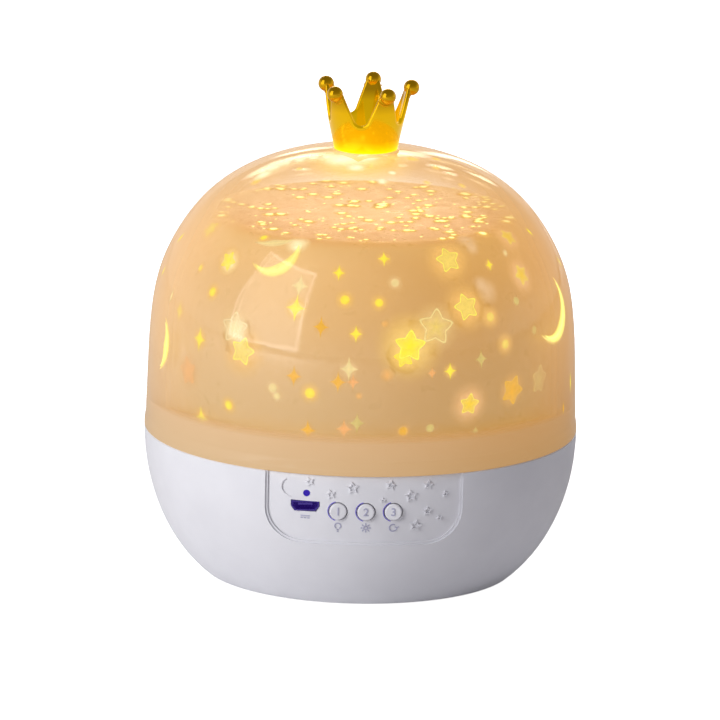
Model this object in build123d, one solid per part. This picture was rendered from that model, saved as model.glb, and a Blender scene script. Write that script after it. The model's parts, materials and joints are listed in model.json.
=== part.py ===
"""Star night light projector: one STEP file per separate piece, in millimetres.

Origin at the bottom centre, +Z up, the control panel faces -Y.
"""

import os
from math import acos, asin, atan, cos, degrees, hypot, pi, radians, sin, sqrt, tan

from build123d import *

# ---------------------------------------------------------------- driving sizes
RIM_R = 58.5  # outer radius where bowl and cover meet
TOTAL_H = 135.0
RIM_Z = 39.7  # seam between bowl and cover
FOOT_GAP = 0.6  # bowl's underside above the table

# bowl: an elliptic wall
BOWL_A = 33.6  # horizontal half axis of the wall's ellipse
BOWL_B = 45.3  # vertical half axis
BOWL_WALL = 2.4
BOWL_FLOOR = 3.6  # floor ring's height from the bowl's underside
FOOT_RING = 3.9  # width of the ring round the bottom cover
PAD_R = 5.0
COVER_PLATE_T = 2.0
RIM_EDGE = 0.3  # small chamfers at the seam
RIM_LIP = 1.9  # thickness of the bowl's rim round the deck
SLIDE_GAP = 0.1  # clearance of pieces that are put together by hand

# control panel
PANEL_HALF_W = 25.6
PANEL_LOW_Z = 20.8
PANEL_CORNER = 9.0
PANEL_DEPTH = 1.0
PANEL_SLOPE = 0.7  # chamfer round the recess
RELIEF = 0.4  # height of stars and crescent above the panel
BUTTON_X = (-6.9, 0.5, 7.8)
BUTTON_Z = 29.7
BUTTON_HOLE_R = 2.55
BUTTON_CAP_R = 2.3
BUTTON_GUIDE_R = 2.47
BUTTON_FLANGE_R = 3.2
BUTTON_PROUD = 0.7
PORT_X = -15.6
PORT_Z = 30.65
PORT_W = 7.4
PORT_H = 2.7
LIGHT_X = -15.3
LIGHT_Z = 34.3
LIGHT_R = 0.9

# control board, standing behind the panel
BOARD_BACK = 11.5  # from the rim's front to the board
BOARD_T = 1.6
BOARD_X = (-23.0, 19.0)
BOARD_Z = (21.5, 36.2)
POST_SPOTS = ((-20.0, 23.8), (16.0, 23.8), (16.0, 33.6))
POST_R = 2.2

# screws
SCREW_R = 1.05
SCREW_BOSS_R = 3.2
SCREW_HOLE_R = 1.15

# deck plate
DECK_T = 2.0
DECK_DROP = 3.0  # deck's underside below the rim
DECK_SCREW_IN = 8.0  # deck screws' distance from the rim
COLLAR_T = 1.9
COLLAR_H = 5.0  # above the rim
HUB_R = 20.0
HUB_BORE_R = 17.5
HUB_H = 6.3
WIRE_HOLE_R = 11.5

# gear train
MODULE = 1.0
PINION_TEETH = 14
GEAR_ROOM = 10.5  # from the ring gear's pitch circle to the deck screws
PRESSURE = 20.0
BACKLASH = 0.24
GEAR_T = 3.8
SHAFT_R = 1.5

# turntable and film cup
TABLE_T = 1.8
TABLE_LIP = 0.8
SLEEVE_T = 2.6
RUN_GAP = 0.06
FILM_T = 0.6
FILM_GAP = 1.9  # air between film and cover
FILM_DROP = 17.2  # from the cover's top to the film's flat top
FILM_DISC_R = 38.0

# cover
COVER_WALL = 1.6
FLARE_OUT = 0.35  # how far the lower edge stands out
FLARE_H = 1.2  # height of its upright part
SEAT_H = 0.2  # flat seat of the crown above the cover's top

# crown
CROWN_H = 18.6
CROWN_R = 8.7
CROWN_TIP_R = 12.1  # outer radius of the wall at the beads
CROWN_WALL = 1.4
CROWN_FLOOR = 1.2
CROWN_POINTS = 5
CROWN_PHASE = -63.5  # degrees from +X of the first point
BEAD_R = 2.25
TIP_ROUND = 2.6  # radius of the wall's end behind the bead
TIP_DROP = 0.5  # its centre below the bead's
VALLEY_Z = 7.9
VALLEY_R = 2.5
VALLEY_HALF_ANGLE = 24.5
STUD_R = 2.0

# lamp
LAMP_FLANGE_R = 24.0
LAMP_DROP = 39.0  # from the film's top to the lamp's board
LAMP_SCREW_R = 15.2
LED_BOARD_R = 9.6
LENS_R = 11.3

# drive and power
GEARBOX_R = 12.0
GEARBOX_H = 11.7
EAR_X = 16.0
MOTOR_R = 10.0
MOTOR_H = 14.0
BATTERY_R = 7.1
BATTERY_Y = -8.0
BATTERY_ROOM = 11.0  # from the floor's opening to the cell's end
CRADLE_T = 1.6
SPRING_ROOM = 1.4

# ---------------------------------------------------------------- derived sizes
BOWL_CX = RIM_R - BOWL_A
BOARD_Y = BOARD_BACK - RIM_R
PLATE_TOP = FOOT_GAP + COVER_PLATE_T
DECK_Z = RIM_Z - DECK_DROP
DECK_TOP = DECK_Z + DECK_T
DECK_SEAT_R = RIM_R - RIM_LIP
DECK_SCREW_R = RIM_R - DECK_SCREW_IN
RING_TEETH = 2 * int((DECK_SCREW_R - GEAR_ROOM) / MODULE)
RING_R = MODULE * RING_TEETH / 2
VENT_R = RING_R - 9.5
COLLAR_R = DECK_SEAT_R - 2 * SLIDE_GAP
HUB_TOP = DECK_TOP + HUB_H
TABLE_TOP = HUB_TOP - 0.1
TABLE_Z = TABLE_TOP - TABLE_T
TABLE_R = COLLAR_R - COLLAR_T - 0.5
FILM_FOOT_R = TABLE_R - TABLE_LIP - 0.2
GEAR_Z = TABLE_Z - GEAR_T
CENTRE_GAP = RING_R - MODULE * PINION_TEETH / 2
SEAT_Z = TOTAL_H - CROWN_H
SHELL_TOP_Z = SEAT_Z - SEAT_H
FILM_TOP_Z = SHELL_TOP_Z - FILM_DROP
TIP_H = CROWN_H - BEAD_R
LAMP_Z = HUB_TOP
LAMP_TOP_Z = FILM_TOP_Z - LAMP_DROP
GEARBOX_Z = DECK_Z - GEARBOX_H
EAR_TOP = DECK_Z - 4.7
EAR_T = 1.6
BATTERY_Z = PLATE_TOP + CRADLE_T + BATTERY_R
FOOT_R = BOWL_CX + BOWL_A * sqrt(1 - ((RIM_Z - FOOT_GAP) / BOWL_B) ** 2)
COVER_PLATE_R = FOOT_R - FOOT_RING
FLOOR_OPEN_R = COVER_PLATE_R - 2.0
BOTTOM_SCREW_R = FLOOR_OPEN_R - 3.0
FEET_R = FLOOR_OPEN_R - 9.0
PAD_TOP = FOOT_GAP + 0.8
BATTERY_L = 2 * (FLOOR_OPEN_R - BATTERY_ROOM)
BUTTON_STOP_Y = BOARD_Y - 5.6


# ---------------------------------------------------------------- helpers
def tube(r_out, r_in, z_low, z_top):
    """Upright ring between two heights; r_in 0 gives a disc."""
    body = Pos(0, 0, z_low) * extrude(Circle(r_out), z_top - z_low)
    if r_in > 0:
        body -= Pos(0, 0, z_low - 1) * extrude(Circle(r_in), z_top - z_low + 2)
    return body


def block(x0, x1, y0, y1, z0, z1):
    """Box given by its limits."""
    centre = Pos((x0 + x1) / 2, (y0 + y1) / 2, (z0 + z1) / 2)
    return centre * Box(x1 - x0, y1 - y0, z1 - z0)


def along_y(face, y_from, y_to):
    """Prism of a face drawn in X and Z, between two y values."""
    return Pos(0, y_to, 0) * extrude(Plane.XZ * face, y_to - y_from)


def turned(edges):
    """Body of revolution about Z of a closed outline drawn in radius and height."""
    return revolve(Plane.XZ * make_face(edges), Axis.Z)


def ring_spots(count, radius, first=0.0):
    """Places on a circle about Z, as locations turned to face outwards."""
    step = 360.0 / count
    return [Rot(0, 0, first + step * i) * Pos(radius, 0, 0) for i in range(count)]


def merged(bodies):
    """One fused body."""
    total = bodies[0]
    for body in bodies[1:]:
        total += body
    return total


def spread(shape, places):
    """Separate copies of one shape."""
    return Compound(children=[place * shape for place in places])


def screw(shaft_r, length, head_r, head_h):
    """Cross-head screw, the head's underside at z = 0 and the shaft downwards."""
    body = tube(head_r, 0, 0, head_h) + tube(shaft_r, 0, -length, 0)
    for turn in (0, 90):
        body -= Rot(0, 0, turn) * block(-head_r * 0.6, head_r * 0.6, -0.25, 0.25, head_h * 0.5, head_h + 1)
    return body


def inset_points(points, depth):
    """Moves (radius, height) points inwards, square to the line through their neighbours."""
    moved = []
    for i, (r, z) in enumerate(points):
        before = points[max(i - 1, 0)]
        after = points[min(i + 1, len(points) - 1)]
        dr = after[0] - before[0]
        dz = after[1] - before[1]
        size = hypot(dr, dz)
        moved.append((r - depth * dz / size, z + depth * dr / size))
    return moved


# ---------------------------------------------------------------- bowl
def bowl_body(inset, z_low, z_top):
    """Solid bounded by the bowl's outer shape moved inwards by inset."""
    a = BOWL_A - inset
    b = BOWL_B - inset
    start = -degrees(asin((RIM_Z - z_low) / b))
    arc = EllipticalCenterArc((BOWL_CX, RIM_Z), a, b, start, arc_size=-start)
    corners = [(BOWL_CX + a, RIM_Z), (0, z_top), (0, z_low), ((arc @ 0).X, (arc @ 0).Y)]
    if z_top > RIM_Z:
        corners.insert(1, (BOWL_CX + a, z_top))
    return turned([*arc.edges(), *Polyline(*corners).edges()])


def bowl_radius(z, inset):
    """Radius of the bowl's outer shape moved inwards by inset."""
    return BOWL_CX + (BOWL_A - inset) * sqrt(1 - ((RIM_Z - z) / (BOWL_B - inset)) ** 2)


def front_y(x, z, inset):
    """The y of the bowl's front at a place seen from the front."""
    return -sqrt(bowl_radius(z, inset) ** 2 - x**2)


def panel_outline(grow):
    """Recess outline in X and Z: open at the rim, with two rounded lower corners."""
    high = RIM_Z + 12
    low = PANEL_LOW_Z - grow
    face = Rectangle(2 * (PANEL_HALF_W + grow), high - low)
    face = fillet(face.vertices().sort_by(Axis.Y)[:2], PANEL_CORNER + grow)
    return Pos(0, (high + low) / 2) * face


def star_face(radius):
    """Filled five-pointed star, one point up."""
    points = []
    for i in range(10):
        r = radius if i % 2 == 0 else radius * 0.5
        angle = radians(90 + 36 * i)
        points.append((r * cos(angle), r * sin(angle)))
    return make_face(Polyline(*points, close=True))


def star_outline(size, line):
    """Five-pointed star drawn as a line of the given width."""
    return star_face(size / 2) - star_face(size / 2 - line * 1.55)


def crescent(height, width):
    """Thin crescent open to the right."""
    r = height / 2
    return Circle(r) - Pos(width, 0) * Circle(r * 1.04)


def panel_relief():
    """Stars and a crescent that stand proud of the panel."""
    stars = (
        (-9.0, 34.4, 2.7, 14),
        (-3.2, 36.4, 3.4, 6),
        (6.9, 37.3, 2.7, -12),
        (4.9, 33.0, 1.7, 0),
        (12.4, 34.1, 3.6, 8),
        (17.0, 37.0, 2.7, -8),
        (21.6, 34.1, 1.8, 10),
        (16.9, 29.6, 2.7, 4),
        (13.8, 25.5, 3.6, -10),
        (20.1, 27.3, 1.7, 16),
        (-14.6, 37.6, 2.5, 20),
    )
    faces = []
    for x, z, size, turn in stars:
        line = 0.34 if size < 2 else 0.42
        faces.append(Pos(x, z) * Rot(0, 0, turn) * star_outline(size, line))
    faces.append(Pos(-20.0, 35.6) * Rot(0, 0, 16) * crescent(4.8, 0.6))
    prisms = [along_y(face, -RIM_R - 3, -RIM_R + 12) for face in faces]
    skin = bowl_body(PANEL_DEPTH - RELIEF, PANEL_LOW_Z, RIM_Z - 0.4)
    core = bowl_body(PANEL_DEPTH + 0.3, PANEL_LOW_Z - 1, RIM_Z + 1)
    shell = skin - core
    return [prism & shell for prism in prisms]


def port_outline(grow):
    """Trapezoid of the charging port, wide side up."""
    half = PORT_W / 2 + grow
    low = half - 0.9
    high = PORT_H / 2 + grow
    waist = -high * 0.1
    right = [(half, high), (half, waist), (low, -high)]
    left = [(-x, z) for x, z in reversed(right)]
    return Pos(PORT_X, PORT_Z) * make_face(Polyline(*right, *left, close=True))


def panel_steps():
    """Cuts of the recess: its full depth, and a wider, shallower one that breaks its edge."""
    cuts = []
    for depth, grow in ((PANEL_DEPTH, 0.0), (PANEL_DEPTH / 2, PANEL_SLOPE)):
        skin = bowl_body(-4, FOOT_GAP, RIM_Z + 2) - bowl_body(depth, FOOT_GAP - 0.1, RIM_Z + 3)
        cuts.append(skin & along_y(panel_outline(grow), -RIM_R - 6, -RIM_R / 2))
    return cuts


def bowl_inner_features():
    """Screw bosses for deck and bottom plate, with ribs that tie them to the wall."""
    rib_half = 0.9
    boss_low = DECK_Z - 16
    parts = []
    for place in ring_spots(4, DECK_SCREW_R, 45):
        parts.append(place * tube(SCREW_BOSS_R, 0, boss_low, DECK_Z))
        parts.append(place * block(0, DECK_SCREW_IN + 4, -rib_half, rib_half, boss_low, DECK_Z))
    for place in ring_spots(4, BOTTOM_SCREW_R, 45):
        parts.append(place * tube(SCREW_BOSS_R, 0, PLATE_TOP, PLATE_TOP + 9))
        parts.append(place * block(0, BOTTOM_SCREW_R / 2, -rib_half, rib_half, PLATE_TOP, PLATE_TOP + 7))
    return merged(parts)


def panel_backs():
    """Posts for the control board and guides for the buttons, behind the panel."""
    parts = []
    for x, z in POST_SPOTS:
        parts.append(along_y(Pos(x, z) * Circle(POST_R), -RIM_R, BOARD_Y))
    for x in BUTTON_X:
        parts.append(along_y(Pos(x, BUTTON_Z) * Circle(BUTTON_FLANGE_R + 0.3), -RIM_R, BUTTON_STOP_Y - 0.3))
    return merged(parts)


def bowl_openings():
    """Everything that is cut through the finished bowl."""
    cuts = [along_y(port_outline(0.15), -RIM_R - 1, BOARD_Y - 0.5)]
    cuts.append(along_y(Pos(LIGHT_X, LIGHT_Z) * Circle(LIGHT_R + 0.06), -RIM_R - 1, BOARD_Y - 0.5))
    for x in BUTTON_X:
        cuts.append(along_y(Pos(x, BUTTON_Z) * Circle(BUTTON_HOLE_R), -RIM_R - 1, BOARD_Y - 0.5))
    for x, z in POST_SPOTS:
        cuts.append(along_y(Pos(x, z) * Circle(0.95), BOARD_Y - 2.6, BOARD_Y + 1))
    for place in ring_spots(4, DECK_SCREW_R, 45):
        cuts.append(place * tube(SCREW_HOLE_R, 0, DECK_Z - 9, DECK_Z + 1))
    for place in ring_spots(4, BOTTOM_SCREW_R, 45):
        cuts.append(place * tube(SCREW_HOLE_R, 0, PLATE_TOP - 1, PLATE_TOP + 8))
    return cuts


def base_bowl():
    """Moulded bowl with its recessed panel."""
    outer = bowl_body(0, FOOT_GAP, RIM_Z)
    circles = outer.edges().filter_by(GeomType.CIRCLE).sort_by(Axis.Z)
    outer = fillet(circles[:1], 0.8)
    rim = outer.edges().filter_by(GeomType.CIRCLE).sort_by(Axis.Z)[-1:]
    outer = chamfer(rim, RIM_EDGE)
    cavity = bowl_body(BOWL_WALL, FOOT_GAP + BOWL_FLOOR, RIM_Z + 2)
    ledge = tube(RIM_R, bowl_radius(DECK_Z, BOWL_WALL) - 2.2, DECK_Z - 2.4, DECK_Z)
    body = outer - (cavity - ledge) - tube(DECK_SEAT_R, 0, DECK_Z, RIM_Z + 2)
    body -= tube(FLOOR_OPEN_R, 0, -1, FOOT_GAP + BOWL_FLOOR + 1)
    body -= tube(COVER_PLATE_R, 0, -1, PLATE_TOP)
    body += bowl_inner_features() & bowl_body(0.9, PLATE_TOP, DECK_Z)
    body += panel_backs() & bowl_body(PANEL_DEPTH + 0.3, PLATE_TOP, DECK_Z)
    for step in panel_steps():
        body -= step
    for relief in panel_relief():
        body += relief
    for cut in bowl_openings():
        body -= cut
    return body


# ---------------------------------------------------------------- underside
def bottom_cover():
    """Plate that closes the bowl, with recesses for the feet and countersunk screw holes."""
    body = tube(COVER_PLATE_R - 0.1, 0, FOOT_GAP, PLATE_TOP)
    for place in ring_spots(4, FEET_R):
        body -= place * tube(PAD_R + SLIDE_GAP, 0, 0, PAD_TOP)
    for place in ring_spots(4, BOTTOM_SCREW_R, 45):
        body -= place * tube(2.7, 0, 0, FOOT_GAP + 1.3)
        body -= place * tube(1.3, 0, 0, PLATE_TOP + 1)
    for x in (-12, -8, -4, 0, 4, 8, 12):
        body -= block(x - 0.7, x + 0.7, 8, 17, 0, PLATE_TOP + 1)
    return body


def rubber_feet():
    """Four round pads."""
    pad = tube(PAD_R, 0, 0, PAD_TOP)
    pad = chamfer(pad.edges().sort_by(Axis.Z)[:1], 0.3)
    return spread(pad, ring_spots(4, FEET_R))


def bottom_screws():
    """Four screws that hold the bottom plate."""
    turned_over = Pos(0, 0, FOOT_GAP + 1.3) * Rot(180, 0, 0) * screw(SCREW_R, 8.0, 2.4, 1.1)
    return spread(turned_over, ring_spots(4, BOTTOM_SCREW_R, 45))


# ---------------------------------------------------------------- deck
def deck_plate():
    """Plate on top of the bowl with the collar for the cover and the turntable's hub."""
    body = tube(COLLAR_R, 0, DECK_Z, DECK_TOP)
    body += tube(COLLAR_R, COLLAR_R - COLLAR_T, DECK_Z, RIM_Z + COLLAR_H)
    body += tube(HUB_R, 0, DECK_TOP, HUB_TOP)
    body -= tube(HUB_BORE_R, 0, DECK_TOP, HUB_TOP + 1)
    for place in ring_spots(3, LAMP_SCREW_R, 90):
        body += place * tube(2.7, 0, DECK_TOP, HUB_TOP)
    for x in (-EAR_X, EAR_X):
        body += Pos(x, CENTRE_GAP, 0) * tube(3.0, 0, EAR_TOP, DECK_Z)
    body -= tube(WIRE_HOLE_R, 0, DECK_Z - 1, DECK_TOP + 1)
    body -= Pos(0, CENTRE_GAP, 0) * tube(3.7, 0, DECK_Z - 1, DECK_TOP + 1)
    for x in (-EAR_X, EAR_X):
        body -= Pos(x, CENTRE_GAP, 0) * tube(1.1, 0, EAR_TOP - 1, DECK_Z + 0.8)
    for place in ring_spots(4, DECK_SCREW_R, 45):
        body -= place * tube(SCREW_R + 0.2, 0, DECK_Z - 1, DECK_TOP + 1)
    for place in ring_spots(3, LAMP_SCREW_R, 90):
        body -= place * tube(1.0, 0, DECK_TOP - 0.5, HUB_TOP + 1)
    return body + deck_ribs()


def deck_ribs():
    """Stiffening ribs under the deck, clear of motor and control board."""
    rib = block(WIRE_HOLE_R + 2.5, DECK_SCREW_R - 6.5, -0.8, 0.8, DECK_Z - 3, DECK_Z)
    ribs = [Rot(0, 0, turn) * rib for turn in (-30, 0, 30, 150, 180, 210)]
    return merged(ribs)


def deck_screws():
    """Four screws that hold the deck to the bowl."""
    body = Pos(0, 0, DECK_TOP) * screw(SCREW_R, 9.0, 2.2, 1.2)
    return spread(body, ring_spots(4, DECK_SCREW_R, 45))


# ---------------------------------------------------------------- gears
def involute(angle):
    """Involute function, in radians."""
    return tan(angle) - angle


def half_tooth(r, pitch_r, teeth, play):
    """Half of a tooth's angle at radius r."""
    base_r = pitch_r * cos(radians(PRESSURE))
    at_r = acos(min(1.0, base_r / r))
    return pi / (2 * teeth) + involute(radians(PRESSURE)) - involute(at_r) + play / (2 * pitch_r)


def gear_outline(teeth, r_root, r_tip, play, phase):
    """Closed outline of a gear with one tooth centred at the phase angle."""
    pitch_r = MODULE * teeth / 2
    steps = 3
    radii = [r_root + (r_tip - r_root) * i / steps for i in range(steps + 1)]
    points = []
    for i in range(teeth):
        middle = radians(phase) + 2 * pi * i / teeth
        for r in radii:
            angle = middle - half_tooth(r, pitch_r, teeth, play)
            points.append((r * cos(angle), r * sin(angle)))
        for r in reversed(radii):
            angle = middle + half_tooth(r, pitch_r, teeth, play)
            points.append((r * cos(angle), r * sin(angle)))
    return make_face(Polyline(*points, close=True))


def ring_spaces():
    """Outline whose teeth are the spaces of the internal gear."""
    return gear_outline(RING_TEETH, RING_R - 0.6 * MODULE, RING_R + 1.3 * MODULE, BACKLASH / 2, 90)


def turntable():
    """Carrier of the film cup: bearing sleeve, web, internal ring gear and locating lip."""
    bore = HUB_R + RUN_GAP
    body = tube(TABLE_R, bore, TABLE_Z, TABLE_TOP)
    body += tube(bore + SLEEVE_T, bore, DECK_TOP + 0.1, TABLE_TOP)
    body += tube(RING_R + 3.6 * MODULE, RING_R - 3, GEAR_Z, TABLE_Z)
    body -= Pos(0, 0, GEAR_Z - 1) * extrude(ring_spaces(), GEAR_T + 1)
    body += tube(TABLE_R, TABLE_R - TABLE_LIP, TABLE_TOP, TABLE_TOP + 2.0)
    for place in ring_spots(6, VENT_R, 30):
        body -= place * tube(4.0, 0, TABLE_Z - 1, TABLE_TOP + 1)
    return body


def drive_pinion():
    """Pinion on the gearbox shaft."""
    pitch_r = MODULE * PINION_TEETH / 2
    outline = gear_outline(PINION_TEETH, pitch_r - 1.25 * MODULE, pitch_r + 0.9 * MODULE, -BACKLASH / 2, 90)
    body = Pos(0, 0, GEAR_Z - 0.1) * extrude(outline, GEAR_T - 0.3)
    body -= shaft_body(GEAR_Z - 1, TABLE_Z)
    return Pos(0, CENTRE_GAP, 0) * body


def shaft_body(z_low, z_top):
    """Shaft with one flat, on the Z axis."""
    flat = block(-SHAFT_R, SHAFT_R, SHAFT_R - 0.5, SHAFT_R, z_low - 1, z_top + 1)
    return tube(SHAFT_R, 0, z_low, z_top) - flat


def output_shaft():
    """Steel shaft of the gearbox."""
    low = tube(SHAFT_R, 0, DECK_Z - 4, DECK_TOP + 0.3)
    return Pos(0, CENTRE_GAP, 0) * (low + shaft_body(DECK_TOP + 0.3, TABLE_Z - 0.3))


def gearbox():
    """Gearbox with two ears under the deck's bosses."""
    body = tube(GEARBOX_R, 0, GEARBOX_Z, DECK_Z) + tube(3.5, 0, DECK_Z, DECK_TOP)
    body += Pos(0, 0, EAR_TOP - EAR_T) * extrude(SlotOverall(2 * EAR_X + 7, 7), EAR_T)
    body -= tube(SHAFT_R + RUN_GAP, 0, DECK_Z - 4, DECK_TOP + 1)
    for x in (-EAR_X, EAR_X):
        body -= Pos(x, 0, 0) * tube(1.3, 0, EAR_TOP - 3, EAR_TOP + 1)
    return Pos(0, CENTRE_GAP, 0) * body


def motor():
    """Can motor below the gearbox, with its end cap and two terminals."""
    body = tube(MOTOR_R, 0, GEARBOX_Z - MOTOR_H, GEARBOX_Z)
    body = chamfer(body.edges().sort_by(Axis.Z)[:1], 0.8)
    body += tube(3.0, 0, GEARBOX_Z - MOTOR_H - 1.2, GEARBOX_Z - MOTOR_H)
    for x in (-5, 5):
        body += block(x - 0.9, x + 0.9, -0.25, 0.25, GEARBOX_Z - MOTOR_H - 2.5, GEARBOX_Z - MOTOR_H)
    return Pos(0, CENTRE_GAP, 0) * body


def motor_screws():
    """Two screws from below through the gearbox's ears."""
    body = Pos(0, CENTRE_GAP, EAR_TOP - EAR_T) * Rot(180, 0, 0) * screw(1.0, 5.8, 2.2, 1.2)
    return spread(body, [Pos(x, 0, 0) for x in (-EAR_X, EAR_X)])


# ---------------------------------------------------------------- film cup and cover
def cover_points():
    """Outer line of the cover above its lower edge, from the side to just before the top."""
    span = SHELL_TOP_Z - RIM_Z
    shape = (
        (0.10, 0.9925),
        (0.25, 0.987),
        (0.40, 0.976),
        (0.552, 0.941),
        (0.70, 0.854),
        (0.822, 0.730),
        (0.9125, 0.566),
        (0.973, 0.355),
    )
    return [(RIM_R * r, RIM_Z + span * z) for z, r in shape]


def dome_edges(start, points, top_z):
    """Curve that starts upright and ends level on the axis."""
    return Spline(start, *points, (0, top_z), tangents=[(0, 1), (-1, 0)]).edges()


def dome_outside():
    """Solid inside the cover's outer shape, with its flared lower edge."""
    flare = (RIM_R - FLARE_OUT, RIM_Z + 4)
    straight = (RIM_R, RIM_Z + FLARE_H)
    side = dome_edges(flare, cover_points(), SHELL_TOP_Z)
    edge = Spline(straight, flare, tangents=[(0, 1), (0, 1)])
    half = RIM_EDGE / 2
    rest = Polyline((0, SHELL_TOP_Z), (0, RIM_Z), (RIM_R - half, RIM_Z), (RIM_R, RIM_Z + half), straight)
    return turned([*side, *edge.edges(), *rest.edges()])


def dome_inside():
    """Room inside the cover: straight round the collar, then parallel to the outside."""
    straight = (COLLAR_R + SLIDE_GAP, RIM_Z + 4)
    top_z = SHELL_TOP_Z - COVER_WALL
    side = dome_edges(straight, inset_points(cover_points(), COVER_WALL), top_z)
    low = RIM_Z - 1
    rest = Polyline((0, top_z), (0, low), (straight[0], low), straight)
    return turned([*side, *rest.edges()])


def dome_cover():
    """Clear cover with a flared lower edge and a flat seat for the crown."""
    body = dome_outside() + tube(CROWN_R + 0.3, 0, SHELL_TOP_Z - COVER_WALL, SEAT_Z)
    return body - dome_inside() - tube(STUD_R + SLIDE_GAP, 0, SEAT_Z - 6, SEAT_Z + 1)


def film_points():
    """Outer line of the film cup: it follows the inside of the cover up to its shoulder."""
    inside = inset_points(cover_points(), COVER_WALL + FILM_GAP)
    follow = [(r, z) for r, z in inside if TABLE_TOP + 8 < z < FILM_TOP_Z - 5]
    return [(FILM_FOOT_R, TABLE_TOP), *follow]


def film_body(depth, z_low):
    """Solid inside the film's outer line moved inwards by depth."""
    points = inset_points(film_points(), depth)
    points[0] = (FILM_FOOT_R - depth, z_low)
    rim = (FILM_DISC_R - depth * 0.4, FILM_TOP_Z - depth)
    side = Spline(*points, rim, tangents=[(0, 1), (-1, 0)])
    rest = Polyline(rim, (0, rim[1]), (0, z_low), points[0])
    return turned([*side.edges(), *rest.edges()])


def film_cup():
    """Thin film cup: tall side, rounded shoulder, flat top and a small inner foot."""
    body = film_body(0, TABLE_TOP) - film_body(FILM_T, TABLE_TOP - 1)
    return body + tube(FILM_FOOT_R - FILM_T / 2, FILM_FOOT_R - 3.5, TABLE_TOP, TABLE_TOP + 0.8)


# ---------------------------------------------------------------- crown
def crown_line(height, inwards):
    """Point of the crown's flared wall at a height above its seat, moved inwards."""
    slope = (CROWN_TIP_R - CROWN_R) / TIP_H
    return (CROWN_R + slope * height - inwards, height)


def crown_cone(inwards, low):
    """Solid inside the crown's flared wall moved inwards, from a height up."""
    wall = [crown_line(low, inwards), crown_line(CROWN_H, inwards)]
    return turned(Polyline((0, low), *wall, (0, CROWN_H), close=True).edges())


def crown_wall():
    """Flared ring of the crown before its valleys are cut."""
    return crown_cone(0, 0) - crown_cone(CROWN_WALL, CROWN_FLOOR)


def valley_face(scale):
    """Rounded V drawn in Y and Z, its width scaled and its height kept."""
    half = atan(tan(radians(VALLEY_HALF_ANGLE)) * scale)
    radius = VALLEY_R * scale
    apex = VALLEY_Z - radius * (1 / sin(half) - 1)
    side = CROWN_H * tan(half)
    face = make_face(Polyline((0, apex), (side, apex + CROWN_H), (-side, apex + CROWN_H), close=True))
    return fillet(face.vertices().sort_by(Axis.Y)[:1], radius)


def valley():
    """Cut between two points of the crown, along +X, that narrows towards the axis."""
    reach = (CROWN_TIP_R / 2, CROWN_TIP_R + 2)
    return loft([Plane.YZ.offset(x) * valley_face(x / CROWN_TIP_R) for x in reach], ruled=True)


def tip_round():
    """What is cut off above a point of the crown on +X, to leave its end round."""
    centre = TIP_H - TIP_DROP
    above = Pos(0, centre + TIP_ROUND) * Rectangle(CROWN_R, 2 * TIP_ROUND)
    above -= Pos(0, centre) * Circle(TIP_ROUND)
    return extrude(Plane.YZ * above, CROWN_TIP_R + 2)


def crown():
    """Five-pointed crown with a bead on the outside of each tip and a stud for fixing."""
    body = crown_wall()
    step = 360 / CROWN_POINTS
    for i in range(CROWN_POINTS):
        body -= Rot(0, 0, CROWN_PHASE + step * (i + 0.5)) * valley()
        body -= Rot(0, 0, CROWN_PHASE + step * i) * tip_round()
    bead = Pos(CROWN_TIP_R - CROWN_WALL / 2, 0, TIP_H) * Sphere(BEAD_R)
    bead -= crown_cone(CROWN_WALL - 0.15, CROWN_FLOOR)
    for i in range(CROWN_POINTS):
        body += Rot(0, 0, CROWN_PHASE + step * i) * bead
    body += tube(STUD_R, 0, -5.2, CROWN_FLOOR / 2)
    return Pos(0, 0, SEAT_Z) * body


def crown_clip():
    """Push-on nut on the crown's stud, under the cover."""
    top = SHELL_TOP_Z - COVER_WALL - 0.25
    body = tube(5.0, STUD_R + 0.02, top - 0.9, top)
    for turn in range(0, 180, 60):
        body -= Rot(0, 0, turn) * block(-3.4, 3.4, -0.3, 0.3, top - 2, top + 1)
    return body


# ---------------------------------------------------------------- lamp
def lamp_post():
    """Flange that keeps the turntable down, with the hollow post for the lamp."""
    body = tube(LAMP_FLANGE_R, 0, LAMP_Z, LAMP_Z + 2)
    body = chamfer(body.edges().sort_by(Axis.Z)[-1:], 0.6)
    slope = [(12.5, LAMP_Z + 2), (LENS_R + 0.3, LAMP_TOP_Z)]
    body += turned(Polyline(*slope, (0, LAMP_TOP_Z), (0, LAMP_Z + 2), close=True).edges())
    body -= tube(8.5, 0, LAMP_Z - 1, LAMP_TOP_Z - 1.6)
    body -= tube(2.2, 0, LAMP_Z, LAMP_TOP_Z + 1)
    for place in ring_spots(3, LAMP_SCREW_R, 90):
        body -= place * tube(1.2, 0, LAMP_Z - 1, LAMP_Z + 3)
    return body


def lamp_screws():
    """Three screws that hold the lamp post on the hub."""
    body = Pos(0, 0, LAMP_Z + 2) * screw(0.95, 7.0, 2.0, 1.1)
    return spread(body, ring_spots(3, LAMP_SCREW_R, 90))


def led_board():
    """Round board of the lamp."""
    return tube(LED_BOARD_R, 0, LAMP_TOP_Z, LAMP_TOP_Z + 1.2) - tube(1.4, 0, LAMP_TOP_Z - 1, LAMP_TOP_Z + 2)


def led_emitters():
    """Four light-emitting packages on the lamp's board."""
    top = LAMP_TOP_Z + 1.2
    chip = block(-1.75, 1.75, -1.4, 1.4, top, top + 0.9)
    chip += tube(1.1, 0, top + 0.9, top + 1.3)
    return spread(chip, ring_spots(4, 5.0))


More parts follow.
